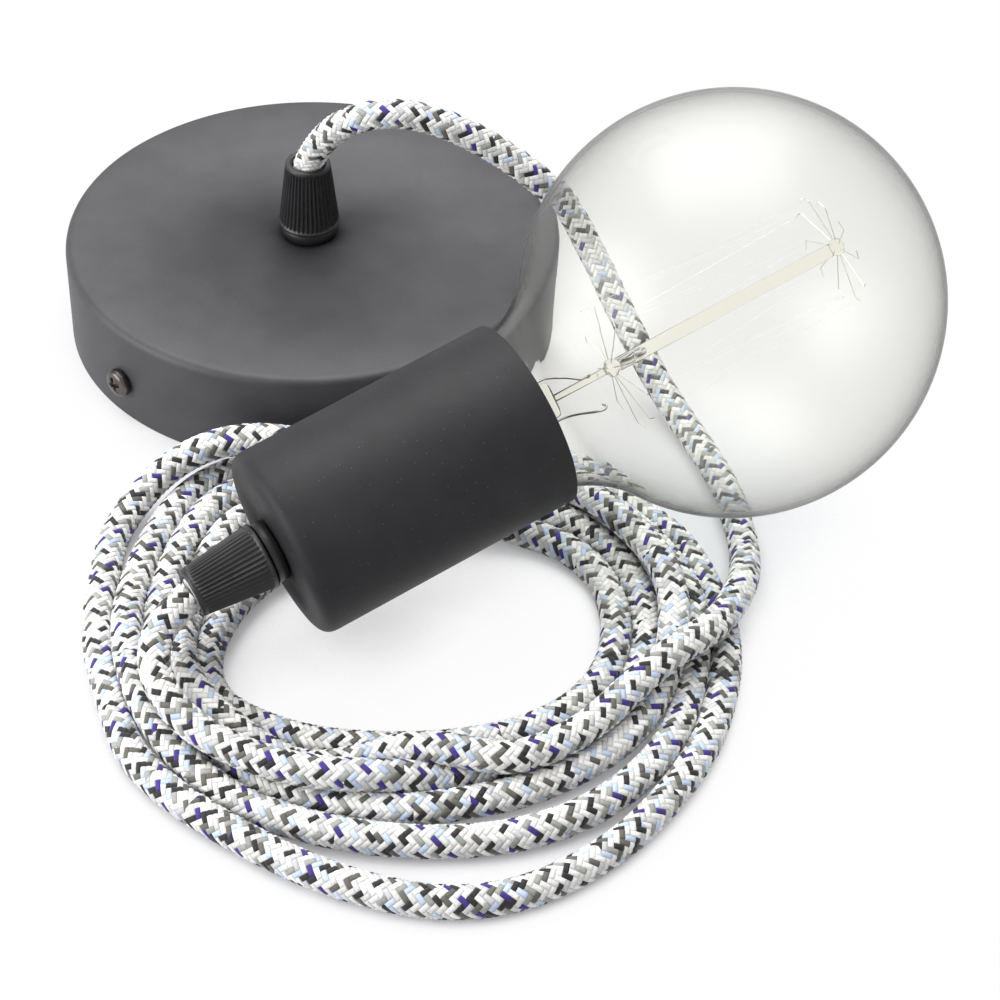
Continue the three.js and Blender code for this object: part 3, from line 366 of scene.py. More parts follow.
def striped_core():
    """Green insulation with a lengthwise yellow stripe."""
    material, tree, shader, where = surface("green and yellow core insulation")
    bands = add(tree, "ShaderNodeTexWave", use={"bands_direction": "DIAGONAL"}, Vector=where,
                Scale=1 / (7 * MM), Distortion=0.4)
    stripe = two_tone(tree, bands.outputs["Fac"], "#5f8f34", "#d6c63c", 0.5, 0.56)
    tree.links.new(stripe.outputs[0], shader.inputs["Base Color"])
    shader.inputs["Roughness"].default_value = 0.42
    return material


EARTH = striped_core()

# %% [markdown]
# ### Clear glass
# The globe is blown glass under a millimetre thick, so nothing behind it looks bent. It shows as faint
# reflections and as an edge that darkens a little where the eye looks along the wall. Light that goes
# through to other pieces must not be stopped, so shadow rays pass. The stem and rod of lead glass have a
# far lower index than its real 1.56, because in the photo they hardly show.

# %% Glass
def glass(name, tint, ior, shadow_tint, gloss, amount, smooth_from=None):
    """Clear glass: a sharp view through, and a reflection softened by the faint waves of blown glass."""
    material, tree, shader, where = surface(name)
    ripple = add(tree, "ShaderNodeTexNoise", Vector=where, Scale=1 / (16 * MM), Detail=1.0)
    bump = add(tree, "ShaderNodeBump", Height=ripple, Distance=0.12 * MM, Strength=1.0)
    view = add(tree, "ShaderNodeBsdfRefraction", Color=linear(tint), Roughness=0.0, IOR=ior, Normal=bump)
    film = add(tree, "ShaderNodeTexNoise", Vector=where, Scale=1 / (30 * MM), Detail=2.0)
    rough = add(tree, "ShaderNodeMapRange", Value=film, To_Min=gloss * 0.7, To_Max=gloss * 1.4)
    if smooth_from is not None:
        # along the bulb's axis the glass turns from blown to drawn over a few millimetres
        start, direction = smooth_from
        along = add(tree, "ShaderNodeVectorMath", where, direction, use={"operation": "DOT_PRODUCT"})
        drawn = add(tree, "ShaderNodeMapRange", Value=along.outputs["Value"], From_Min=start,
                    From_Max=start + 8 * MM, To_Min=1.0, To_Max=0.5)
        rough = add(tree, "MULTIPLY", rough, drawn)
    shine = add(tree, "ShaderNodeBsdfGlossy", Color=(amount, amount, amount, 1), Roughness=rough, Normal=bump)
    edge = add(tree, "ShaderNodeFresnel", IOR=ior, Normal=bump)
    body = add(tree, "ShaderNodeMixShader", edge, view, shine)
    through = add(tree, "ShaderNodeBsdfTransparent", Color=linear(shadow_tint))
    rays = add(tree, "ShaderNodeLightPath")
    passing = add(tree, "MAXIMUM", rays.outputs["Is Shadow Ray"], rays.outputs["Is Diffuse Ray"])
    to_output(tree, add(tree, "ShaderNodeMixShader", passing, body, through))
    tree.nodes.remove(shader)
    return material


AZIMUTH, TILT = math.radians(210.8), math.radians(-12.8)
GLOBE_MIDDLE = np.array([99.0, -64.0, 54.8])
axis_z = np.array([math.cos(TILT) * math.cos(AZIMUTH), math.cos(TILT) * math.sin(AZIMUTH), math.sin(TILT)])
NECK_FROM = (float(axis_z @ GLOBE_MIDDLE) + 40) * MM
CLEAR = glass("clear blown glass", "#fdfdfc", 1.46, "#fafbfa", 0.3, 0.48, (NECK_FROM, tuple(axis_z)))
PALE = glass("pale lead glass", "#fefdf8", 1.07, "#fdfcf7", 0.25, 0.45)

# %% [markdown]
# ### The braid
# The sleeve is braided from twelve yarns that run one way round the cord and twelve that run the other
# way. Each yarn passes over two and under two, which gives rows of chevrons along the cord. The braid is
# drawn from the cord's own two measures, round it and along it: their difference numbers the yarns of one
# way and their sum those of the other way.

# %% Braid
CARRIERS = 12  # yarns each way
LAY = 19.2  # mm of cord in which a yarn goes once round
WHITE_YARN, OFF_WHITE, PALE_GREY, GREY, OLIVE, COAL, VIOLET, SKY = (
    "#ecebe8", "#dddcd9", "#c6c7c8", "#9a9c96", "#5d5b53", "#1c1b1c", "#37267c", "#c0cee6")
ONE_WAY = [WHITE_YARN, COAL, WHITE_YARN, PALE_GREY, OFF_WHITE, VIOLET,
           WHITE_YARN, SKY, GREY, WHITE_YARN, OLIVE, OFF_WHITE]
OTHER_WAY = [WHITE_YARN, OFF_WHITE, COAL, WHITE_YARN, SKY, GREY,
             WHITE_YARN, PALE_GREY, COAL, WHITE_YARN, OFF_WHITE, OLIVE]


def braid():
    """The yarns' numbers, colours and relief, from the cord's own two measures."""
    material, tree, shader, where = surface("braided polyester sleeve")
    uv = add(tree, "ShaderNodeUVMap", use={"uv_map": "UVMap"})
    split = add(tree, "ShaderNodeSeparateXYZ", uv)
    round_it, along = split.outputs["X"], split.outputs["Y"]
    one = add(tree, "MULTIPLY", add(tree, "SUBTRACT", round_it, along), CARRIERS)
    two = add(tree, "MULTIPLY", add(tree, "ADD", round_it, along), CARRIERS)
    one_yarn, two_yarn = add(tree, "FLOOR", one), add(tree, "FLOOR", two)
    one_part, two_part = add(tree, "FRACT", one), add(tree, "FRACT", two)
    turn = add(tree, "FLOORED_MODULO", add(tree, "ADD", one_yarn, two_yarn), 4)
    on_top = add(tree, "LESS_THAN", turn, 1.5)  # 1 where a yarn of the first way is outside

    def either(first, second):
        """The first value where the first way is outside, the second elsewhere."""
        return add(tree, "MULTIPLY_ADD", add(tree, "SUBTRACT", first, second), on_top, second)

    def dome(value, sharpness):
        """A rise from 0 at either end of the range 0 to 1 to 1 between them."""
        out = add(tree, "ABSOLUTE", add(tree, "MULTIPLY_ADD", value, 2, -1))
        return add(tree, "SUBTRACT", 1, add(tree, "POWER", out, sharpness))

    across = either(one_part, two_part)
    first_length = add(tree, "ADD", turn, two_part)
    second_length = add(tree, "ADD", add(tree, "SUBTRACT", turn, 2), one_part)
    length = add(tree, "DIVIDE", either(first_length, second_length), 2)
    second_carrier = add(tree, "ADD", add(tree, "FLOORED_MODULO", two_yarn, CARRIERS), CARRIERS)
    carrier = either(add(tree, "FLOORED_MODULO", one_yarn, CARRIERS), second_carrier)
    # every carrier has its own colour, in a ramp with one even step for each, and in three of ten
    # stretches it takes the colour of the fifth carrier after it
    stretch = add(tree, "FLOOR", add(tree, "MULTIPLY", along, 1.7))
    swap = add(tree, "ShaderNodeCombineXYZ", stretch, carrier, 0.0)
    chance = add(tree, "ShaderNodeTexWhiteNoise", use={"noise_dimensions": "2D"}, Vector=swap)
    jump = add(tree, "MULTIPLY", add(tree, "LESS_THAN", chance, 0.3), 5)
    number = add(tree, "FLOORED_MODULO", add(tree, "ADD", carrier, jump), 2 * CARRIERS)
    ramp = add(tree, "ShaderNodeValToRGB", add(tree, "DIVIDE", add(tree, "ADD", number, 0.5), 2 * CARRIERS))
    ramp.color_ramp.interpolation = "CONSTANT"
    for k, code in enumerate(ONE_WAY + OTHER_WAY):
        start = k / (2 * CARRIERS)
        stop = ramp.color_ramp.elements[k] if k < 2 else ramp.color_ramp.elements.new(start)
        stop.position, stop.color = start, linear(code)
    # the yarn is twisted from threads that were dyed unevenly, so no two floats are quite alike
    key = add(tree, "ShaderNodeCombineXYZ", carrier, add(tree, "FLOOR", add(tree, "MULTIPLY", along, 6)), 0.0)
    dye = add(tree, "ShaderNodeTexWhiteNoise", use={"noise_dimensions": "2D"}, Vector=key)
    uneven = add(tree, "ShaderNodeMapRange", Value=dye, To_Min=0.84, To_Max=1.08)
    # each float is round in section, dips at its ends and is made of four threads side by side; the same relief
    # darkens the colour in the dips and between the threads, as painted shade
    threads = add(tree, "MULTIPLY", add(tree, "SINE", add(tree, "MULTIPLY", across, 2 * math.pi * 4)), 0.06)
    height = add(tree, "ADD", add(tree, "MULTIPLY", dome(across, 2.6), dome(length, 5)), threads)
    # painted shade: the colour drops to 0.78 of itself where the float's relief is low
    shade = add(tree, "ShaderNodeMapRange", Value=height, From_Min=0.0, From_Max=0.6, To_Min=0.78, To_Max=1.0)
    fuzz = add(tree, "ShaderNodeTexNoise", Vector=where, Scale=1 / (0.5 * MM), Detail=2.0)
    soft = add(tree, "ShaderNodeMapRange", Value=fuzz, To_Min=0.9, To_Max=1.06)
    dim = add(tree, "MULTIPLY", add(tree, "MULTIPLY", shade, soft), uneven)
    tone = add(tree, "ShaderNodeVectorMath", ramp, use={"operation": "SCALE"}, Scale=dim)
    shader.inputs["Roughness"].default_value = 0.72
    shader.inputs["Sheen Weight"].default_value = 0.25
    shader.inputs["Sheen Roughness"].default_value = 0.4
    dress(tree, shader, height, 0.28, 0.9, Base_Color=tone)
    return material


BRAID = braid()

# %% [markdown]
# ## The cord
# The whole cord is in view: it leaves the rose's grip, bows over and down behind the bulb, passes under
# it, lies in five loose turns, crosses itself at the back and climbs into the holder's grip. Its middle
# line is one smooth curve through points on the table, lifted where one strand crosses another.

# %% Cord
CORD_DIAMETER = 7.1  # mm, over the braid
ROUTE = [
    (0, 0, 45), (4.6, -3, 54.4), (11.9, -6.1, 61.9), (22.4, -7, 64.4), (33, -6.5, 61.8), (42.6, -6, 56.6),
    (51.6, -5.8, 50.2), (59.7, -6.3, 42.8), (66.1, -9, 34.3), (71.6, -13.8, 26.1), (76.8, -19.7, 18.4),
    (82.1, -26.5, 11.6), (87.4, -34.7, 6.5), (92.5, -44.1, 4), (96.9, -54.1, 3.5), (100.7, -64.4, 3.5),
    (103.5, -75.1, 3.5), (105.2, -85.9, 3.7), (105, -96.7, 5.8), (103.2, -107, 9.1), (99.2, -117.1, 10.6),
    (93.2, -126.1, 12.4), (85.7, -134, 13.1), (78.2, -141.9, 11.4), (70.9, -150, 9.9), (62.3, -156.8, 9.3),
    (52.2, -161, 9.6), (41.4, -159.8, 10.1), (30.7, -158.8, 8.3), (20.2, -160.6, 5.8), (9.5, -159.7, 3.9),
    (-0.4, -155.3, 5.8), (-8.9, -148.8, 7.8), (-15.2, -139.9, 8.3), (-17.9, -129.4, 7.2),
    (-17.9, -118.6, 4.8), (-17.1, -107.8, 3.5), (-15, -97, 3.5), (-11.2, -86.7, 3.5), (-3, -79.6, 3.5),
    (7.8, -77.5, 3.6), (18.5, -77.6, 5.6), (28.7, -79.1, 9.4), (39.2, -81.7, 8.8), (49.3, -83.7, 4.9),
    (59.7, -86.9, 3.5), (68.5, -93.4, 3.5), (73.9, -102.9, 3.5), (75.9, -113.7, 3.5), (75, -124.6, 3.5),
    (70.8, -134.7, 3.5), (63.6, -142.9, 3.5), (54.2, -148.6, 3.5), (43.7, -152, 3.5), (32.8, -153.6, 3.5),
    (21.9, -153.8, 3.5), (11, -152.5, 3.5), (0.6, -148.7, 3.5), (-8.2, -142.3, 3.5), (-12.1, -132.2, 3.5),
    (-11.2, -121.3, 3.5), (-7.4, -111, 3.5), (-1.2, -101.9, 3.5), (6.7, -94.2, 3.5), (15.9, -88.3, 3.5),
    (25.7, -83.3, 3.5), (35.6, -78.5, 3.5), (45.9, -74.6, 3.8), (56.4, -72.9, 6), (66.2, -76.3, 9.4),
    (74, -83.7, 10.9), (80.7, -92.4, 10.9), (85.7, -102.2, 11.5), (88.1, -112.9, 10.9),
    (87.9, -123.6, 8.7), (85.5, -134.1, 6.4), (81, -144, 4.8), (74, -152.3, 3.7), (65.5, -159.3, 3.5),
    (55.9, -164.7, 3.5), (45.5, -168.3, 3.7), (34.8, -170.6, 3.6), (23.8, -170.5, 3.5), (13, -168.7, 3.5),
    (2.7, -164.8, 3.5), (-6.4, -158.7, 3.5), (-14.1, -150.8, 3.5), (-19.9, -141.5, 3.5),
    (-23.3, -131, 3.5), (-24.4, -120.1, 3.5), (-24.1, -109.1, 3.5), (-22.6, -98.2, 3.5),
    (-19.8, -87.6, 3.5), (-14.7, -78, 3.5), (-5.6, -72, 3.5), (5.3, -70.5, 3.5), (16.3, -70.5, 3.5),
    (27.3, -70.7, 3.5), (38.1, -68.8, 3.5), (48.9, -66.7, 3.5), (59.8, -67.1, 3.5), (69.1, -72.6, 4.4),
    (76.8, -80.4, 5.7), (83.9, -88.8, 5.7), (89, -98.5, 6.1), (92.4, -108.9, 6.4), (93.2, -119.7, 4.7),
    (92.3, -130.6, 3.6), (89.9, -141.3, 3.5), (85.7, -151.5, 3.5), (79.4, -160.5, 3.5),
    (71.5, -168.1, 3.5), (62.1, -173.9, 3.5), (51.8, -177.5, 3.5), (40.9, -179.1, 3.5),
    (29.9, -179.1, 3.5), (19, -177.6, 3.5), (8.4, -174.7, 3.5), (-1.6, -170.2, 3.7), (-10.5, -163.9, 5),
    (-17.9, -155.9, 6.3), (-23.6, -146.6, 7.4), (-27.6, -136.3, 7.6), (-30, -125.7, 6.8), (-31, -114.9, 5),
    (-30.4, -104, 3.8), (-28.5, -93.1, 3.5), (-25.3, -82.6, 3.5), (-19.8, -73.2, 3.5), (-11, -66.7, 3.5),
    (-0.4, -64, 3.5), (10.6, -63.1, 3.5), (21.5, -62.4, 3.5), (32.5, -61.6, 3.5), (43.5, -60.5, 3.5),
    (54.4, -59.5, 3.5), (65.1, -61.6, 3.5), (73.9, -68.1, 3.5), (81.2, -76.3, 3.5), (88.8, -84.3, 3.5),
    (94, -93.9, 3.5), (97.4, -104.4, 3.5), (99.6, -115.2, 3.5), (99.7, -126.1, 3.5), (98, -137, 3.5),
    (95.1, -147.6, 3.5), (90.6, -157.6, 3.5), (84.9, -167, 3.5), (78.2, -175.7, 3.5), (70.2, -183.3, 3.5),
    (61.2, -189.5, 3.5), (50.9, -193.6, 3.5), (40, -194.7, 3.5), (29.2, -193.1, 3.6), (18.7, -189.7, 3.6),
    (8.8, -185, 3.5), (-0.7, -179.4, 3.5), (-9.8, -173.2, 3.6), (-18.2, -166.1, 3.6), (-25, -157.5, 3.5),
    (-29.4, -147.5, 3.5), (-33.1, -137.1, 3.5), (-36.2, -126.5, 3.5), (-37.6, -115.6, 3.5),
    (-37.8, -104.6, 3.5), (-37.5, -93.7, 3.8), (-34.4, -83.3, 5.2), (-28.2, -74.9, 8.6),
    (-19.2, -70, 12.4), (-8.7, -67.5, 13.9), (2.3, -67.3, 13.1), (13.1, -68.9, 11.8), (23.8, -71, 10.8),
    (34.5, -73.5, 10.4), (45.1, -76.5, 9.9), (55.4, -79.1, 7.2), (65.6, -81.9, 4.3), (74.1, -88.7, 3.5),
    (79.5, -98.2, 3.5), (82.4, -108.8, 3.5), (82.8, -119.8, 3.5), (80.4, -130.5, 3.5), (75.4, -140.2, 3.5),
    (68, -148.3, 3.5), (58.8, -154.4, 3.5), (48.9, -159.2, 3.5), (38.7, -162.9, 4.8), (28.8, -166.1, 8.4),
    (18.1, -167.5, 9.9), (7.2, -166, 10.2), (-3.1, -162.2, 10.5), (-12.6, -157, 12.4),
    (-19.5, -149.3, 15.7), (-20.8, -139.4, 19.8), (-14.7, -131.7, 24),
]
ROUND = 2 * CARRIERS  # points round the cord, two for each yarn so that the relief falls on the braid
INTO_GRIP = 0.8  # mm that the sleeve reaches into each grip

line = spline(ROUTE, 0.5)
line[:, 2] = np.maximum(line[:, 2], CORD_DIAMETER / 2)
line = np.r_[[line[0] - INTO_GRIP * np.array([0, 0, 1.0])], line]
total = np.linalg.norm(np.diff(line, axis=0), axis=1).sum()
steps = int(round(total / (LAY / ROUND)))
middle = even(line, steps)
u, v, _ = frames(middle)
turn = np.arange(ROUND) / ROUND
row = np.arange(steps + 1)
high = (np.arange(ROUND)[None, :] + row[:, None]) % 2  # 1 in the middle of a float, 0 at its corners
radius = CORD_DIAMETER / 2 - 0.2 * (1 - high)
angle = 2 * np.pi * turn
skin = middle[:, None] + radius[..., None] * (
    np.cos(angle)[:, None] * u[:, None] + np.sin(angle)[:, None] * v[:, None])
across_uv, along_uv = np.meshgrid(np.arange(ROUND + 1) / ROUND, row / ROUND)
corner = np.stack([across_uv, along_uv], -1)
uv = np.stack([corner[:-1, :-1], corner[:-1, 1:], corner[1:, 1:], corner[1:, :-1]], 2).reshape(-1, 4, 2)
ends = [list(range(ROUND))[::-1], list(range(steps * ROUND, (steps + 1) * ROUND))]
cord = build("braided_cord", skin, quads(steps + 1, ROUND), BRAID, uv=uv, caps=ends)
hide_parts("cord_to_rose", "cord_coil", "cord_to_holder")
print("cord", round(total), "mm in", steps, "steps")

# %% [markdown]
# ## The ceiling rose
# The rose is a steel cup drawn from sheet: a flat face, an edge rounded in the die and a straight wall.
# Turning its section about the middle gives the same surface, with the wall's thickness.

# %% Ceiling rose
ROSE = {"radius": 60.0, "height": 25.0, "wall": 1.0, "edge": 2.5, "hole": 5.25}


def upright(points):
    """Places that are already in the frame of the set."""
    return points


section = rounded(
    [(ROSE["hole"], ROSE["height"]), (ROSE["radius"], ROSE["height"]), (ROSE["radius"], 0.0),
     (ROSE["radius"] - ROSE["wall"], 0.0), (ROSE["radius"] - ROSE["wall"], ROSE["height"] - ROSE["wall"]),
     (ROSE["hole"], ROSE["height"] - ROSE["wall"])],
    [0, ROSE["edge"], 0.3, 0.3, ROSE["edge"] - ROSE["wall"], 0], 9)
rose = turned("rose_cup", section, upright, ROSE_COAT, 192)
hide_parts("ceiling_rose_cup")

# %% [markdown]
# ## The axis of the bulb and the holder
# Bulb, holder and grip share one axis, which dips towards the cord. A local frame with its Z along that
# axis lets each of them be drawn upright and then laid down together.

# %% Axis
axis_y = np.array([-math.sin(AZIMUTH), math.cos(AZIMUTH), 0])
axis_x = np.cross(axis_y, axis_z)
AXES = np.stack([axis_x, axis_y, axis_z])


def on_axis(points):
    """From the bulb's own frame, Z towards the cord, to the frame of the set."""
    return GLOBE_MIDDLE + np.asarray(points) @ AXES


def on_rose(points):
    """From a grip's own frame, standing on the rose, to the frame of the set."""
    return np.asarray(points) + [0, 0, ROSE["height"]]


COVER_END = 115.2  # mm from the globe's middle to the cover's closed end


def on_cover(points):
    """From a grip's own frame, standing on the cover's end, to the frame of the set."""
    return on_axis(np.asarray(points) + [0, 0, COVER_END])

# %% [markdown]
# ## The holder's cover
# The cover is a deep-drawn cup with a small rounding at its closed end and a cut, slightly rounded rim.

# %% Holder cover
COVER = {"radius": 21.4, "rim": 53.2, "wall": 1.0, "edge": 3.5, "hole": 5.25}
section = rounded(
    [(COVER["hole"], COVER_END), (COVER["radius"], COVER_END), (COVER["radius"], COVER["rim"]),
     (COVER["radius"] - COVER["wall"], COVER["rim"]), (COVER["radius"] - COVER["wall"], COVER_END - COVER["wall"]),
     (COVER["hole"], COVER_END - COVER["wall"])],
    [0, COVER["edge"], 0.35, 0.35, COVER["edge"] - COVER["wall"], 0], 9)
cover = turned("cover_shell", section, on_axis, COVER_COAT_WITH_PAINTED_SHADE, 160)
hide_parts("holder_cover")

# %% [markdown]
# ## The cord grips
# Each grip is a moulded cone with fine lengthwise ribs for the fingers, screwed over split fingers that
# clamp the cord. A short plain collar stands between the cone and the metal. The ribs are a ripple in
# the cone's radius that fades out before the plain rim at either end.

# %% Grips
RIBS = 40
RIB_POINTS = 10
GRIP = {"collar_foot": 0.3, "collar": 2.8, "foot": 3.1, "tip": 20.3, "base_r": 7.5, "tip_r": 5.45, "bore": 3.8}


def grip_cap(name, place, node):
    """A cone r(h) less a ripple (0.5 - 0.5 cos(40 t)) ^ 0.8, which fades out before either end."""
    sides = RIBS * RIB_POINTS
    t = np.linspace(0, 2 * np.pi, sides, endpoint=False)
    foot, tip = GRIP["foot"], GRIP["tip"]
    heights = np.r_[foot, foot + 0.15, foot + 0.8, foot + 0.95, foot + 1.25, np.linspace(foot + 1.6, tip - 1.5, 16),
                    tip - 1.2, tip - 1.0, tip - 0.35, tip - 0.1, tip]
    share = (heights - foot) / (tip - foot)
    cone = GRIP["base_r"] + (GRIP["tip_r"] - GRIP["base_r"]) * share
    fade = np.interp(heights, [foot + 0.85, foot + 1.6, tip - 1.6, tip - 1.0], [0, 1, 1, 0])
    edge = np.interp(heights, [foot, foot + 0.15, tip - 0.35, tip - 0.1, tip], [0.15, 0, 0, 0.12, 0.45])
    groove = np.interp(heights, [foot + 0.8, foot + 0.95, foot + 1.25], [0, 0.25, 0.1], right=0.0, left=0.0)
    ripple = (0.5 - 0.5 * np.cos(RIBS * t)) ** 0.8
    outer = (cone - edge - groove)[:, None] - 0.42 * fade[:, None] * ripple[None, :]
    inner_h = np.array([tip - 0.02, tip - 0.5, tip - 2.0, foot + 9.0, foot])
    inner_r = np.array([GRIP["bore"] + 0.4, GRIP["bore"] + 0.05, GRIP["bore"], 5.4, 5.4])
    radius = np.concatenate([outer, np.repeat(inner_r[:, None], sides, 1)])
    height = np.r_[heights, inner_h]
    grid = np.stack([radius * np.cos(t), radius * np.sin(t), np.repeat(height[:, None], sides, 1)], -1)
    cap = build(name, place(grid.reshape(-1, 3)), quads(len(height), sides, wrap_rows=True), NYLON)
    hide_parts(node)


def grip_base(name, place, node, stub):
    """The collar, the threaded stub below it and the fingers inside the cone, as one turned body."""
    pitch = 1.0
    thread = [(4.85 if k % 2 else 4.45, -stub + pitch / 2 * k) for k in range(1, int(2 * stub / pitch))]
    profile = [(3.9, -stub), (4.45, -stub), *thread, (4.85, GRIP["collar_foot"]), (6.75, GRIP["collar_foot"]),
               (6.9, GRIP["collar_foot"] + 0.15), (6.9, GRIP["collar"] - 0.15), (6.75, GRIP["collar"]),
               (5.0, GRIP["collar"]), (5.0, 11.2), (4.45, 12.3), (3.9, 12.3)]
    body = turned(name, profile, place, NYLON, 96)
    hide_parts(node)


grip_cap("rose_grip_cone", on_rose, "rose_grip_cap")
grip_cap("holder_grip_cone", on_cover, "holder_grip_cap")
grip_base("rose_grip_collar", on_rose, "rose_grip_body", 9.0)
grip_base("holder_grip_collar", on_cover, "holder_grip_body", 9.0)

# %% [markdown]
# ## The side screws
# Two small pan-head screws hold the rose to its bracket. The head is a low dome with a cross recess,
# drawn as a height over a disc: the dome, less a cross that tapers downwards.

# %% Side screws
SCREW = {"head_r": 3.5, "crown": 2.6, "seat": 60.3, "height": 10.0, "angle": math.radians(46), "length": 11.0,
         "pitch": 0.7, "spin": math.radians(24)}


def side_screw(name, flip, node):
    """Rings from the middle of the recess to the head's rim, its underside, the shank and the point."""
    sides = 96
    t = np.linspace(0, 2 * np.pi, sides, endpoint=False)
    r = np.r_[np.linspace(0, 2.1, 22), np.linspace(2.2, 3.35, 7), 3.47, SCREW["head_r"]]
    dome = SCREW["crown"] - 0.75 * (r / SCREW["head_r"]) ** 2 - 0.55 * np.clip((r - 2.9) / 0.6, 0, 1) ** 2
    x, y = r[:, None] * np.cos(t), r[:, None] * np.sin(t)
    arm = np.minimum(np.abs(x), np.abs(y))
    reach = np.maximum(np.abs(x), np.abs(y))
    wall = np.clip((0.62 - arm) / 0.22, 0, 1) * np.clip((2.05 - reach) / 0.35, 0, 1)
    top = dome[:, None] - 1.15 * wall
    grid = [np.stack([x, y, top], -1)]
    low = [(SCREW["head_r"], 0.25), (3.35, 0.0), (1.8, 0.0)]
    half = SCREW["pitch"] / 2
    low += [(1.75 if k % 2 else 1.45, -0.2 - half * k) for k in range(int((SCREW["length"] - 1.4) / half))]
    low += [(1.1, -SCREW["length"] + 0.4), (0.0, -SCREW["length"])]
    lr, lh = np.array(low).T
    grid.append(np.stack([lr[:, None] * np.cos(t), lr[:, None] * np.sin(t), lh[:, None] + 0 * t], -1))
    points = np.concatenate(grid).reshape(-1, 3)
    outward = np.array([math.cos(SCREW["angle"]), math.sin(SCREW["angle"]), 0]) * flip
    sideways = np.array([-outward[1], outward[0], 0])
    one = math.cos(SCREW["spin"]) * sideways + math.sin(SCREW["spin"]) * np.array([0, 0, 1.0])
    two = np.cross(outward, one)
    seat = outward * SCREW["seat"] + [0, 0, SCREW["height"]]
    placed = seat + points[:, :1] * one + points[:, 1:2] * two + points[:, 2:] * outward
    screw = merged(build(name, placed, quads(len(points) // sides, sides), GUNMETAL))
    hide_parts(node)


side_screw("cover_screw_1", 1, "side_screw_1")
side_screw("cover_screw_2", -1, "side_screw_2")

# %% [markdown]
# ## The globe
# The globe is a sphere that flares into its neck by an arc that touches both. The wall is a second
# surface just inside the first, joined to it at the neck's end, so light crosses real glass.

# %% Globe
GLOBE = {"radius": 47.5, "wall": 0.7, "neck": 17.5, "flare": 28.0, "end": 73.5, "throat": 11.2, "shoulder": 66.2}


def globe_profile(inset, points=64):
    """The sphere's meridian, the flare's arc and the taper to the throat, at a depth inside the glass."""
    r, neck, flare = GLOBE["radius"] - inset, GLOBE["neck"] - inset, GLOBE["flare"] + inset
    along = math.sqrt((r + flare) ** 2 - (neck + flare) ** 2)
    touch = math.asin((neck + flare) / (r + flare))
    a = np.linspace(-math.pi / 2, math.pi / 2 - touch, points)
    sphere = np.stack([r * np.cos(a), r * np.sin(a)], -1)
    b = np.linspace(1.5 * math.pi - touch, math.pi, points // 4)[1:]
    arc = np.stack([neck + flare + flare * np.cos(b), along + flare * np.sin(b)], -1)
    c = np.linspace(0, 1, 12)[1:, None]
    throat = GLOBE["throat"] - inset
    taper = np.concatenate([throat + (neck - throat) * np.cos(c * math.pi / 2),
                            along + (GLOBE["shoulder"] - along) * np.sin(c * math.pi / 2)], 1)
    return np.concatenate([sphere, arc, taper, [[throat, GLOBE["end"]]]])


section = np.concatenate([globe_profile(0.0), globe_profile(GLOBE["wall"])[::-1]])
section[0, 0] = section[-1, 0] = 0
globe = turned("clear_globe", section, on_axis, CLEAR, 160, closed=False)
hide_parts("glass_globe")

# %% [markdown]
# ## The filament mount
# A flared stem is sealed into the neck and pinched flat over the lead wires. A thin rod stands on it with
# two glass buttons, and each button carries a star of fine wires with hooked ends for the filament.

# %% Stem and rod
MOUNT_TURN = math.radians(59.6)
turn_c, turn_s = math.cos(MOUNT_TURN), math.sin(MOUNT_TURN)
MOUNT = np.array([[turn_c, turn_s, 0], [-turn_s, turn_c, 0], [0, 0, 1.0]])


def on_mount(points):
    """From the filament mount's own frame to the frame of the set."""
    return on_axis(np.asarray(points) @ MOUNT)


STEM = {"top": 46.0, "foot": 71.7, "mouth": 10.3, "wide": 4.15, "thick": 1.5, "round": 58.9}
PINCH = math.radians(155.4)


def pinched(points):
    """Flatten the stem's end towards one plane, less and less up to where it is round."""
    out = np.array(points, float)
    share = np.clip((STEM["round"] - out[:, 2]) / (STEM["round"] - STEM["top"] - 4), 0, 1)
    share = share * share * (3 - 2 * share)
    out[:, 0] *= 1 + (STEM["thick"] / STEM["wide"] - 1) * share
    c, s = math.cos(PINCH - math.pi / 2), math.sin(PINCH - math.pi / 2)
    return on_mount(out @ np.array([[c, s, 0], [-s, c, 0], [0, 0, 1.0]]))


stem_t = np.linspace(0, 1, 26)[:, None]
flare = np.concatenate([STEM["wide"] + (STEM["mouth"] - STEM["wide"]) * stem_t ** 1.7,
                        STEM["top"] + 2.5 + (STEM["foot"] - STEM["top"] - 2.5) * stem_t], 1)
stem_end = [[0, STEM["top"]], [STEM["wide"] - 0.8, STEM["top"]], [STEM["wide"] - 0.2, STEM["top"] + 0.25],
            [STEM["wide"], STEM["top"] + 0.9]]
stem_section = np.concatenate([stem_end, flare, (flare - [0.8, -0.3])[::-1][:-5], [[0, STEM["top"] + 8]]])
stem = turned("sealed_stem", stem_section, pinched, PALE, 72, closed=False)
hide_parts("glass_stem")

LOWER, UPPER = 31.0, -28.5  # mm along the axis from the globe's middle
LOWER_REACH, UPPER_REACH = 15.3, 13.2  # mm from the axis to the tips of the wires
BUTTON = 2.1


def bead(at):
    """Half an oval of a glass button round the rod."""
    a = np.linspace(-1.2, 1.2, 9)
    return np.stack([BUTTON * np.cos(a) ** 0.6, at + 1.4 * np.sin(a)], -1)


rod_section = np.concatenate([
    [[0, UPPER - 1.6], [0.7, UPPER - 1.55]], bead(UPPER), [[1.55, UPPER + 1.9], [1.55, LOWER - 1.9]],
    bead(LOWER), [[0.8, LOWER + 1.9], [0.8, STEM["top"] - 0.35], [0, STEM["top"] - 0.3]]])
rod = turned("filament_rod", rod_section, on_mount, PALE, 40, closed=False)
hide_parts("glass_rod")

# %% Support wires, leads and filament
SUPPORTS = 10
HOOK = 2.6


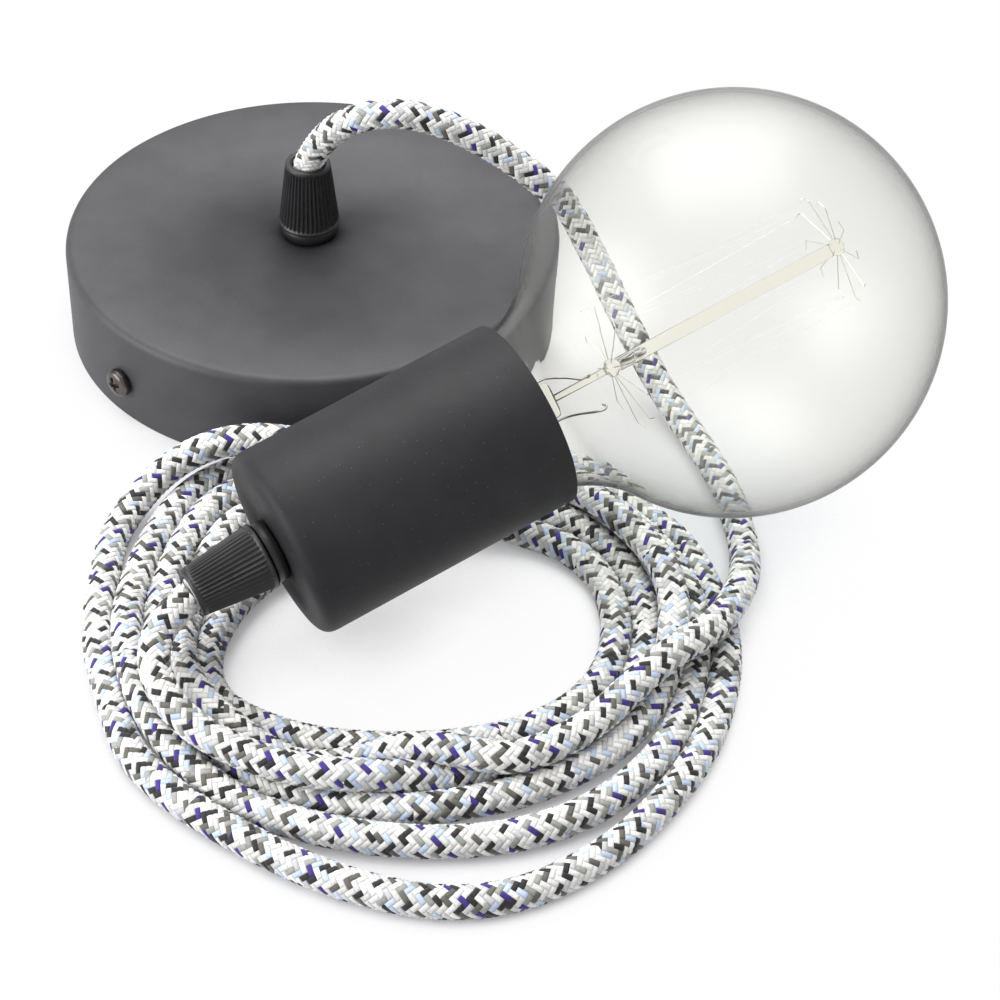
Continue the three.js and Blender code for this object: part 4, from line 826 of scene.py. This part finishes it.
def dense(corners, step=1.5):
    """Straight stretches between corners, cut into short steps."""
    parts = [a + (b - a) * np.linspace(0, 1, max(2, int(np.linalg.norm(b - a) / step)))[:-1, None]
             for a, b in zip(corners[:-1], corners[1:])]
    return np.concatenate([*parts, corners[-1:]])


def star(hub, reach, lean, first):
    """One wire for each tenth of a turn: from the button outwards, then bent back into a small hook."""
    wires = []
    for k in range(SUPPORTS):
        t = first + 2 * math.pi * k / SUPPORTS
        out, round_it = np.array([math.cos(t), math.sin(t), 0]), np.array([-math.sin(t), math.cos(t), 0])
        up = np.array([0, 0, 1.0])
        uneven = 1 + 0.05 * math.sin(5.1 * k + first * 3)
        elbow = out * (reach - HOOK / 2) * uneven + up * lean
        hook = (out * 0.9 + round_it * 2.4) * (1 + 0.1 * math.sin(2.3 * k)) + up * lean * 0.3
        corners = [out * 1.9, elbow, elbow + hook]
        wires.append(pipe(dense(np.array(corners) + up * hub, 0.4), 0.11, 6))
    return wires


lower = bundle("lower_star", star(LOWER, LOWER_REACH, -1.2, 0.0), on_mount, FINE_WIRE)
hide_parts("lower_support_wires")
upper = bundle("upper_star", star(UPPER, UPPER_REACH, 1.2, math.pi / SUPPORTS), on_mount, FINE_WIRE)
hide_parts("upper_support_wires")

LEADS = [(18, 8.2, 335.4), (90, 4.0, 155.4)]  # hook's angle, its distance from the axis, and the foot's angle


def polar(angle, reach, height):
    """A place in the mount by its angle in degrees, its distance from the axis and its height."""
    return np.array([reach * math.cos(math.radians(angle)), reach * math.sin(math.radians(angle)), height])


def lead(angle, reach, foot):
    """A lead wire: up along an edge of the stem's flat, across to its hook, and the hook's bend."""
    start, bend = polar(foot, 4.75, 45.2), polar(angle, reach, 39.3)
    knots = [polar(foot, 4.85, 48.5), polar(foot, 4.85, 46.2), start * 0.75 + bend * 0.25, start * 0.25 + bend * 0.75,
             bend, polar(angle, reach + 0.1, 37.9), polar(angle, reach - 0.5, 37.3), polar(angle, reach - 1.2, 37.9)]
    return pipe(spline(knots, 0.25), 0.28, 10)


leads = bundle("lead_wires", [lead(*item) for item in LEADS], on_mount, WIRE)
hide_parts("lead_wire_1", "lead_wire_2")


def filament_path():
    """From one lead to the other by way of the hooks of the two stars in turn."""
    corners = []
    step = math.pi / SUPPORTS
    first, last = math.radians(LEADS[0][0]), math.radians(LEADS[1][0])
    count = round((2 * math.pi - (last - first)) / step)
    for k in range(count + 1):
        low = k % 2 == 1
        reach, hub = (LOWER_REACH, LOWER - 1.9) if low else (UPPER_REACH, UPPER + 1.9)
        t = first - k * step + HOOK / reach / 2
        corners.append([(reach - 0.6) * math.cos(t), (reach - 0.6) * math.sin(t), hub])
    ends = [polar(angle, reach - 0.5, 37.0) for angle, reach, _ in LEADS]
    return np.array([ends[0], *corners, ends[1]])


filament = bundle("fine_filament", [pipe(dense(filament_path()), 0.02, 4)], on_mount, FINE_WIRE)
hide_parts("filament")

# %% [markdown]
# ## Finishes on the solid model's own pieces
# The pieces inside the rose and the holder are right as they are and only get their finish.

# %% Finishes
FINISH = {
    ZINC: ["mounting_bracket", "rose_grip_washer", "cap_tip_contact"],
    BRASS: ["earth_washer", "earth_screw", "bulb_screw_cap", "centre_contact", "side_contact",
            *[f"terminal_insert_{k}" for k in (1, 2)], *[f"terminal_screw_{k}" for k in (1, 2, 3, 4)],
            *[f"contact_screw_{k}" for k in (1, 2)]],
    WHITE: ["terminal_block", "holder_dome", "threaded_skirt", "contact_block"],
    NYLON: ["rose_grip_nut", "holder_grip_nut"],
    VITRITE: ["cap_insulator"],
    BROWN: ["rose_live_core", "holder_live_core"],
    BLUE: ["rose_neutral_core", "holder_neutral_core"],
    EARTH: ["rose_earth_core"],
    SLEEVE: ["rose_cord_tail", "holder_cord_tail"],
}
for material, names in FINISH.items():
    for name in names:
        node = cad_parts[name]
        node.data.materials.clear()
        node.data.materials.append(material)
print("finished", sum(len(names) for names in FINISH.values()), "solid pieces")

# %% [markdown]
# ## Floor, backdrop and light
# The product lies on white paper. The floor shows white to the camera and keeps a soft shadow: most of its brightness
# is its own, less of it in the gaps between the turns, which is painted shadow, and the rest comes from the lamps,
# which cast the real shadow.
# Two wide soft lamps and an even white sky stand for a light tent.

# %% Studio
def paper(open_light, hidden_light):
    """White paper that shines by itself, to the eye and in reflections, and less in narrow gaps as painted shadow."""
    material, tree, shader, _ = surface("white studio paper")
    shader.inputs["Base Color"].default_value = linear("#cbcbd0")
    shader.inputs["Roughness"].default_value = 0.9
    shine = add(tree, "ShaderNodeEmission", Color=(1, 1, 1, 1), Strength=1.0)
    rays = add(tree, "ShaderNodeLightPath").outputs
    seen = add(tree, "MAXIMUM", rays["Is Camera Ray"], rays["Is Glossy Ray"])
    seen = add(tree, "MAXIMUM", seen, rays["Is Transmission Ray"])
    # painted shadow: the paper's own light is turned down where other pieces stand within 25 mm
    openness = add(tree, "ShaderNodeAmbientOcclusion", use={"samples": 8}, Distance=25 * MM)
    share = add(tree, "ShaderNodeMapRange", Value=openness.outputs["AO"], From_Min=0.25, From_Max=0.65,
                To_Min=hidden_light, To_Max=open_light)
    to_output(tree, add(tree, "ShaderNodeMixShader", add(tree, "MULTIPLY", seen, share), shader, shine))
    return material


floor_mesh = bpy.data.meshes.new("paper_floor")
FLOOR = 4.0  # metres from its middle to its sides
floor_corners = [(-FLOOR, -FLOOR, 0), (FLOOR, -FLOOR, 0), (FLOOR, FLOOR, 0), (-FLOOR, FLOOR, 0)]
floor_mesh.from_pydata(floor_corners, [], [(0, 1, 2, 3)])
floor_mesh.materials.append(paper(0.96, 0.2))
paper_floor = bpy.data.objects.new("paper_floor", floor_mesh)
bpy.context.scene.collection.objects.link(paper_floor)

world = bpy.data.worlds.new("light_tent")
bpy.context.scene.world = world
world.use_nodes = True
sky = world.node_tree
back = next(n for n in sky.nodes if n.type == "BACKGROUND")
back.inputs["Color"].default_value = (1.0, 1.0, 1.0, 1.0)
rays = add(sky, "ShaderNodeLightPath").outputs
direct = add(sky, "MAXIMUM", rays["Is Camera Ray"], rays["Is Transmission Ray"])
level = add(sky, "ShaderNodeMapRange", Value=direct, To_Min=0.64, To_Max=1.0)
sky.links.new(level.outputs[0], back.inputs["Strength"])


def softbox(name, at, towards, size, watts):
    """A square area lamp that faces a point, both in mm."""
    lamp = bpy.data.lights.new(name, "AREA")
    lamp.shape, lamp.size, lamp.energy = "SQUARE", size * MM, watts
    holder = bpy.data.objects.new(name, lamp)
    z = np.array(at, float) - np.array(towards, float)
    z /= np.linalg.norm(z)
    x = np.cross([0, 1.0, 0.1], z)
    x /= np.linalg.norm(x)
    pose = np.eye(4)
    pose[:3, 0], pose[:3, 1], pose[:3, 2], pose[:3, 3] = x, np.cross(z, x), z, np.array(at) * MM
    holder.matrix_world = Matrix(pose.tolist())
    bpy.context.scene.collection.objects.link(holder)


softbox("overhead_softbox", (-60, 330, 1050), (50, -60, 20), 1100, 17)
softbox("left_softbox", (-900, -420, 330), (0, -40, 20), 800, 11)
bpy.context.scene.view_settings.view_transform = "Standard"
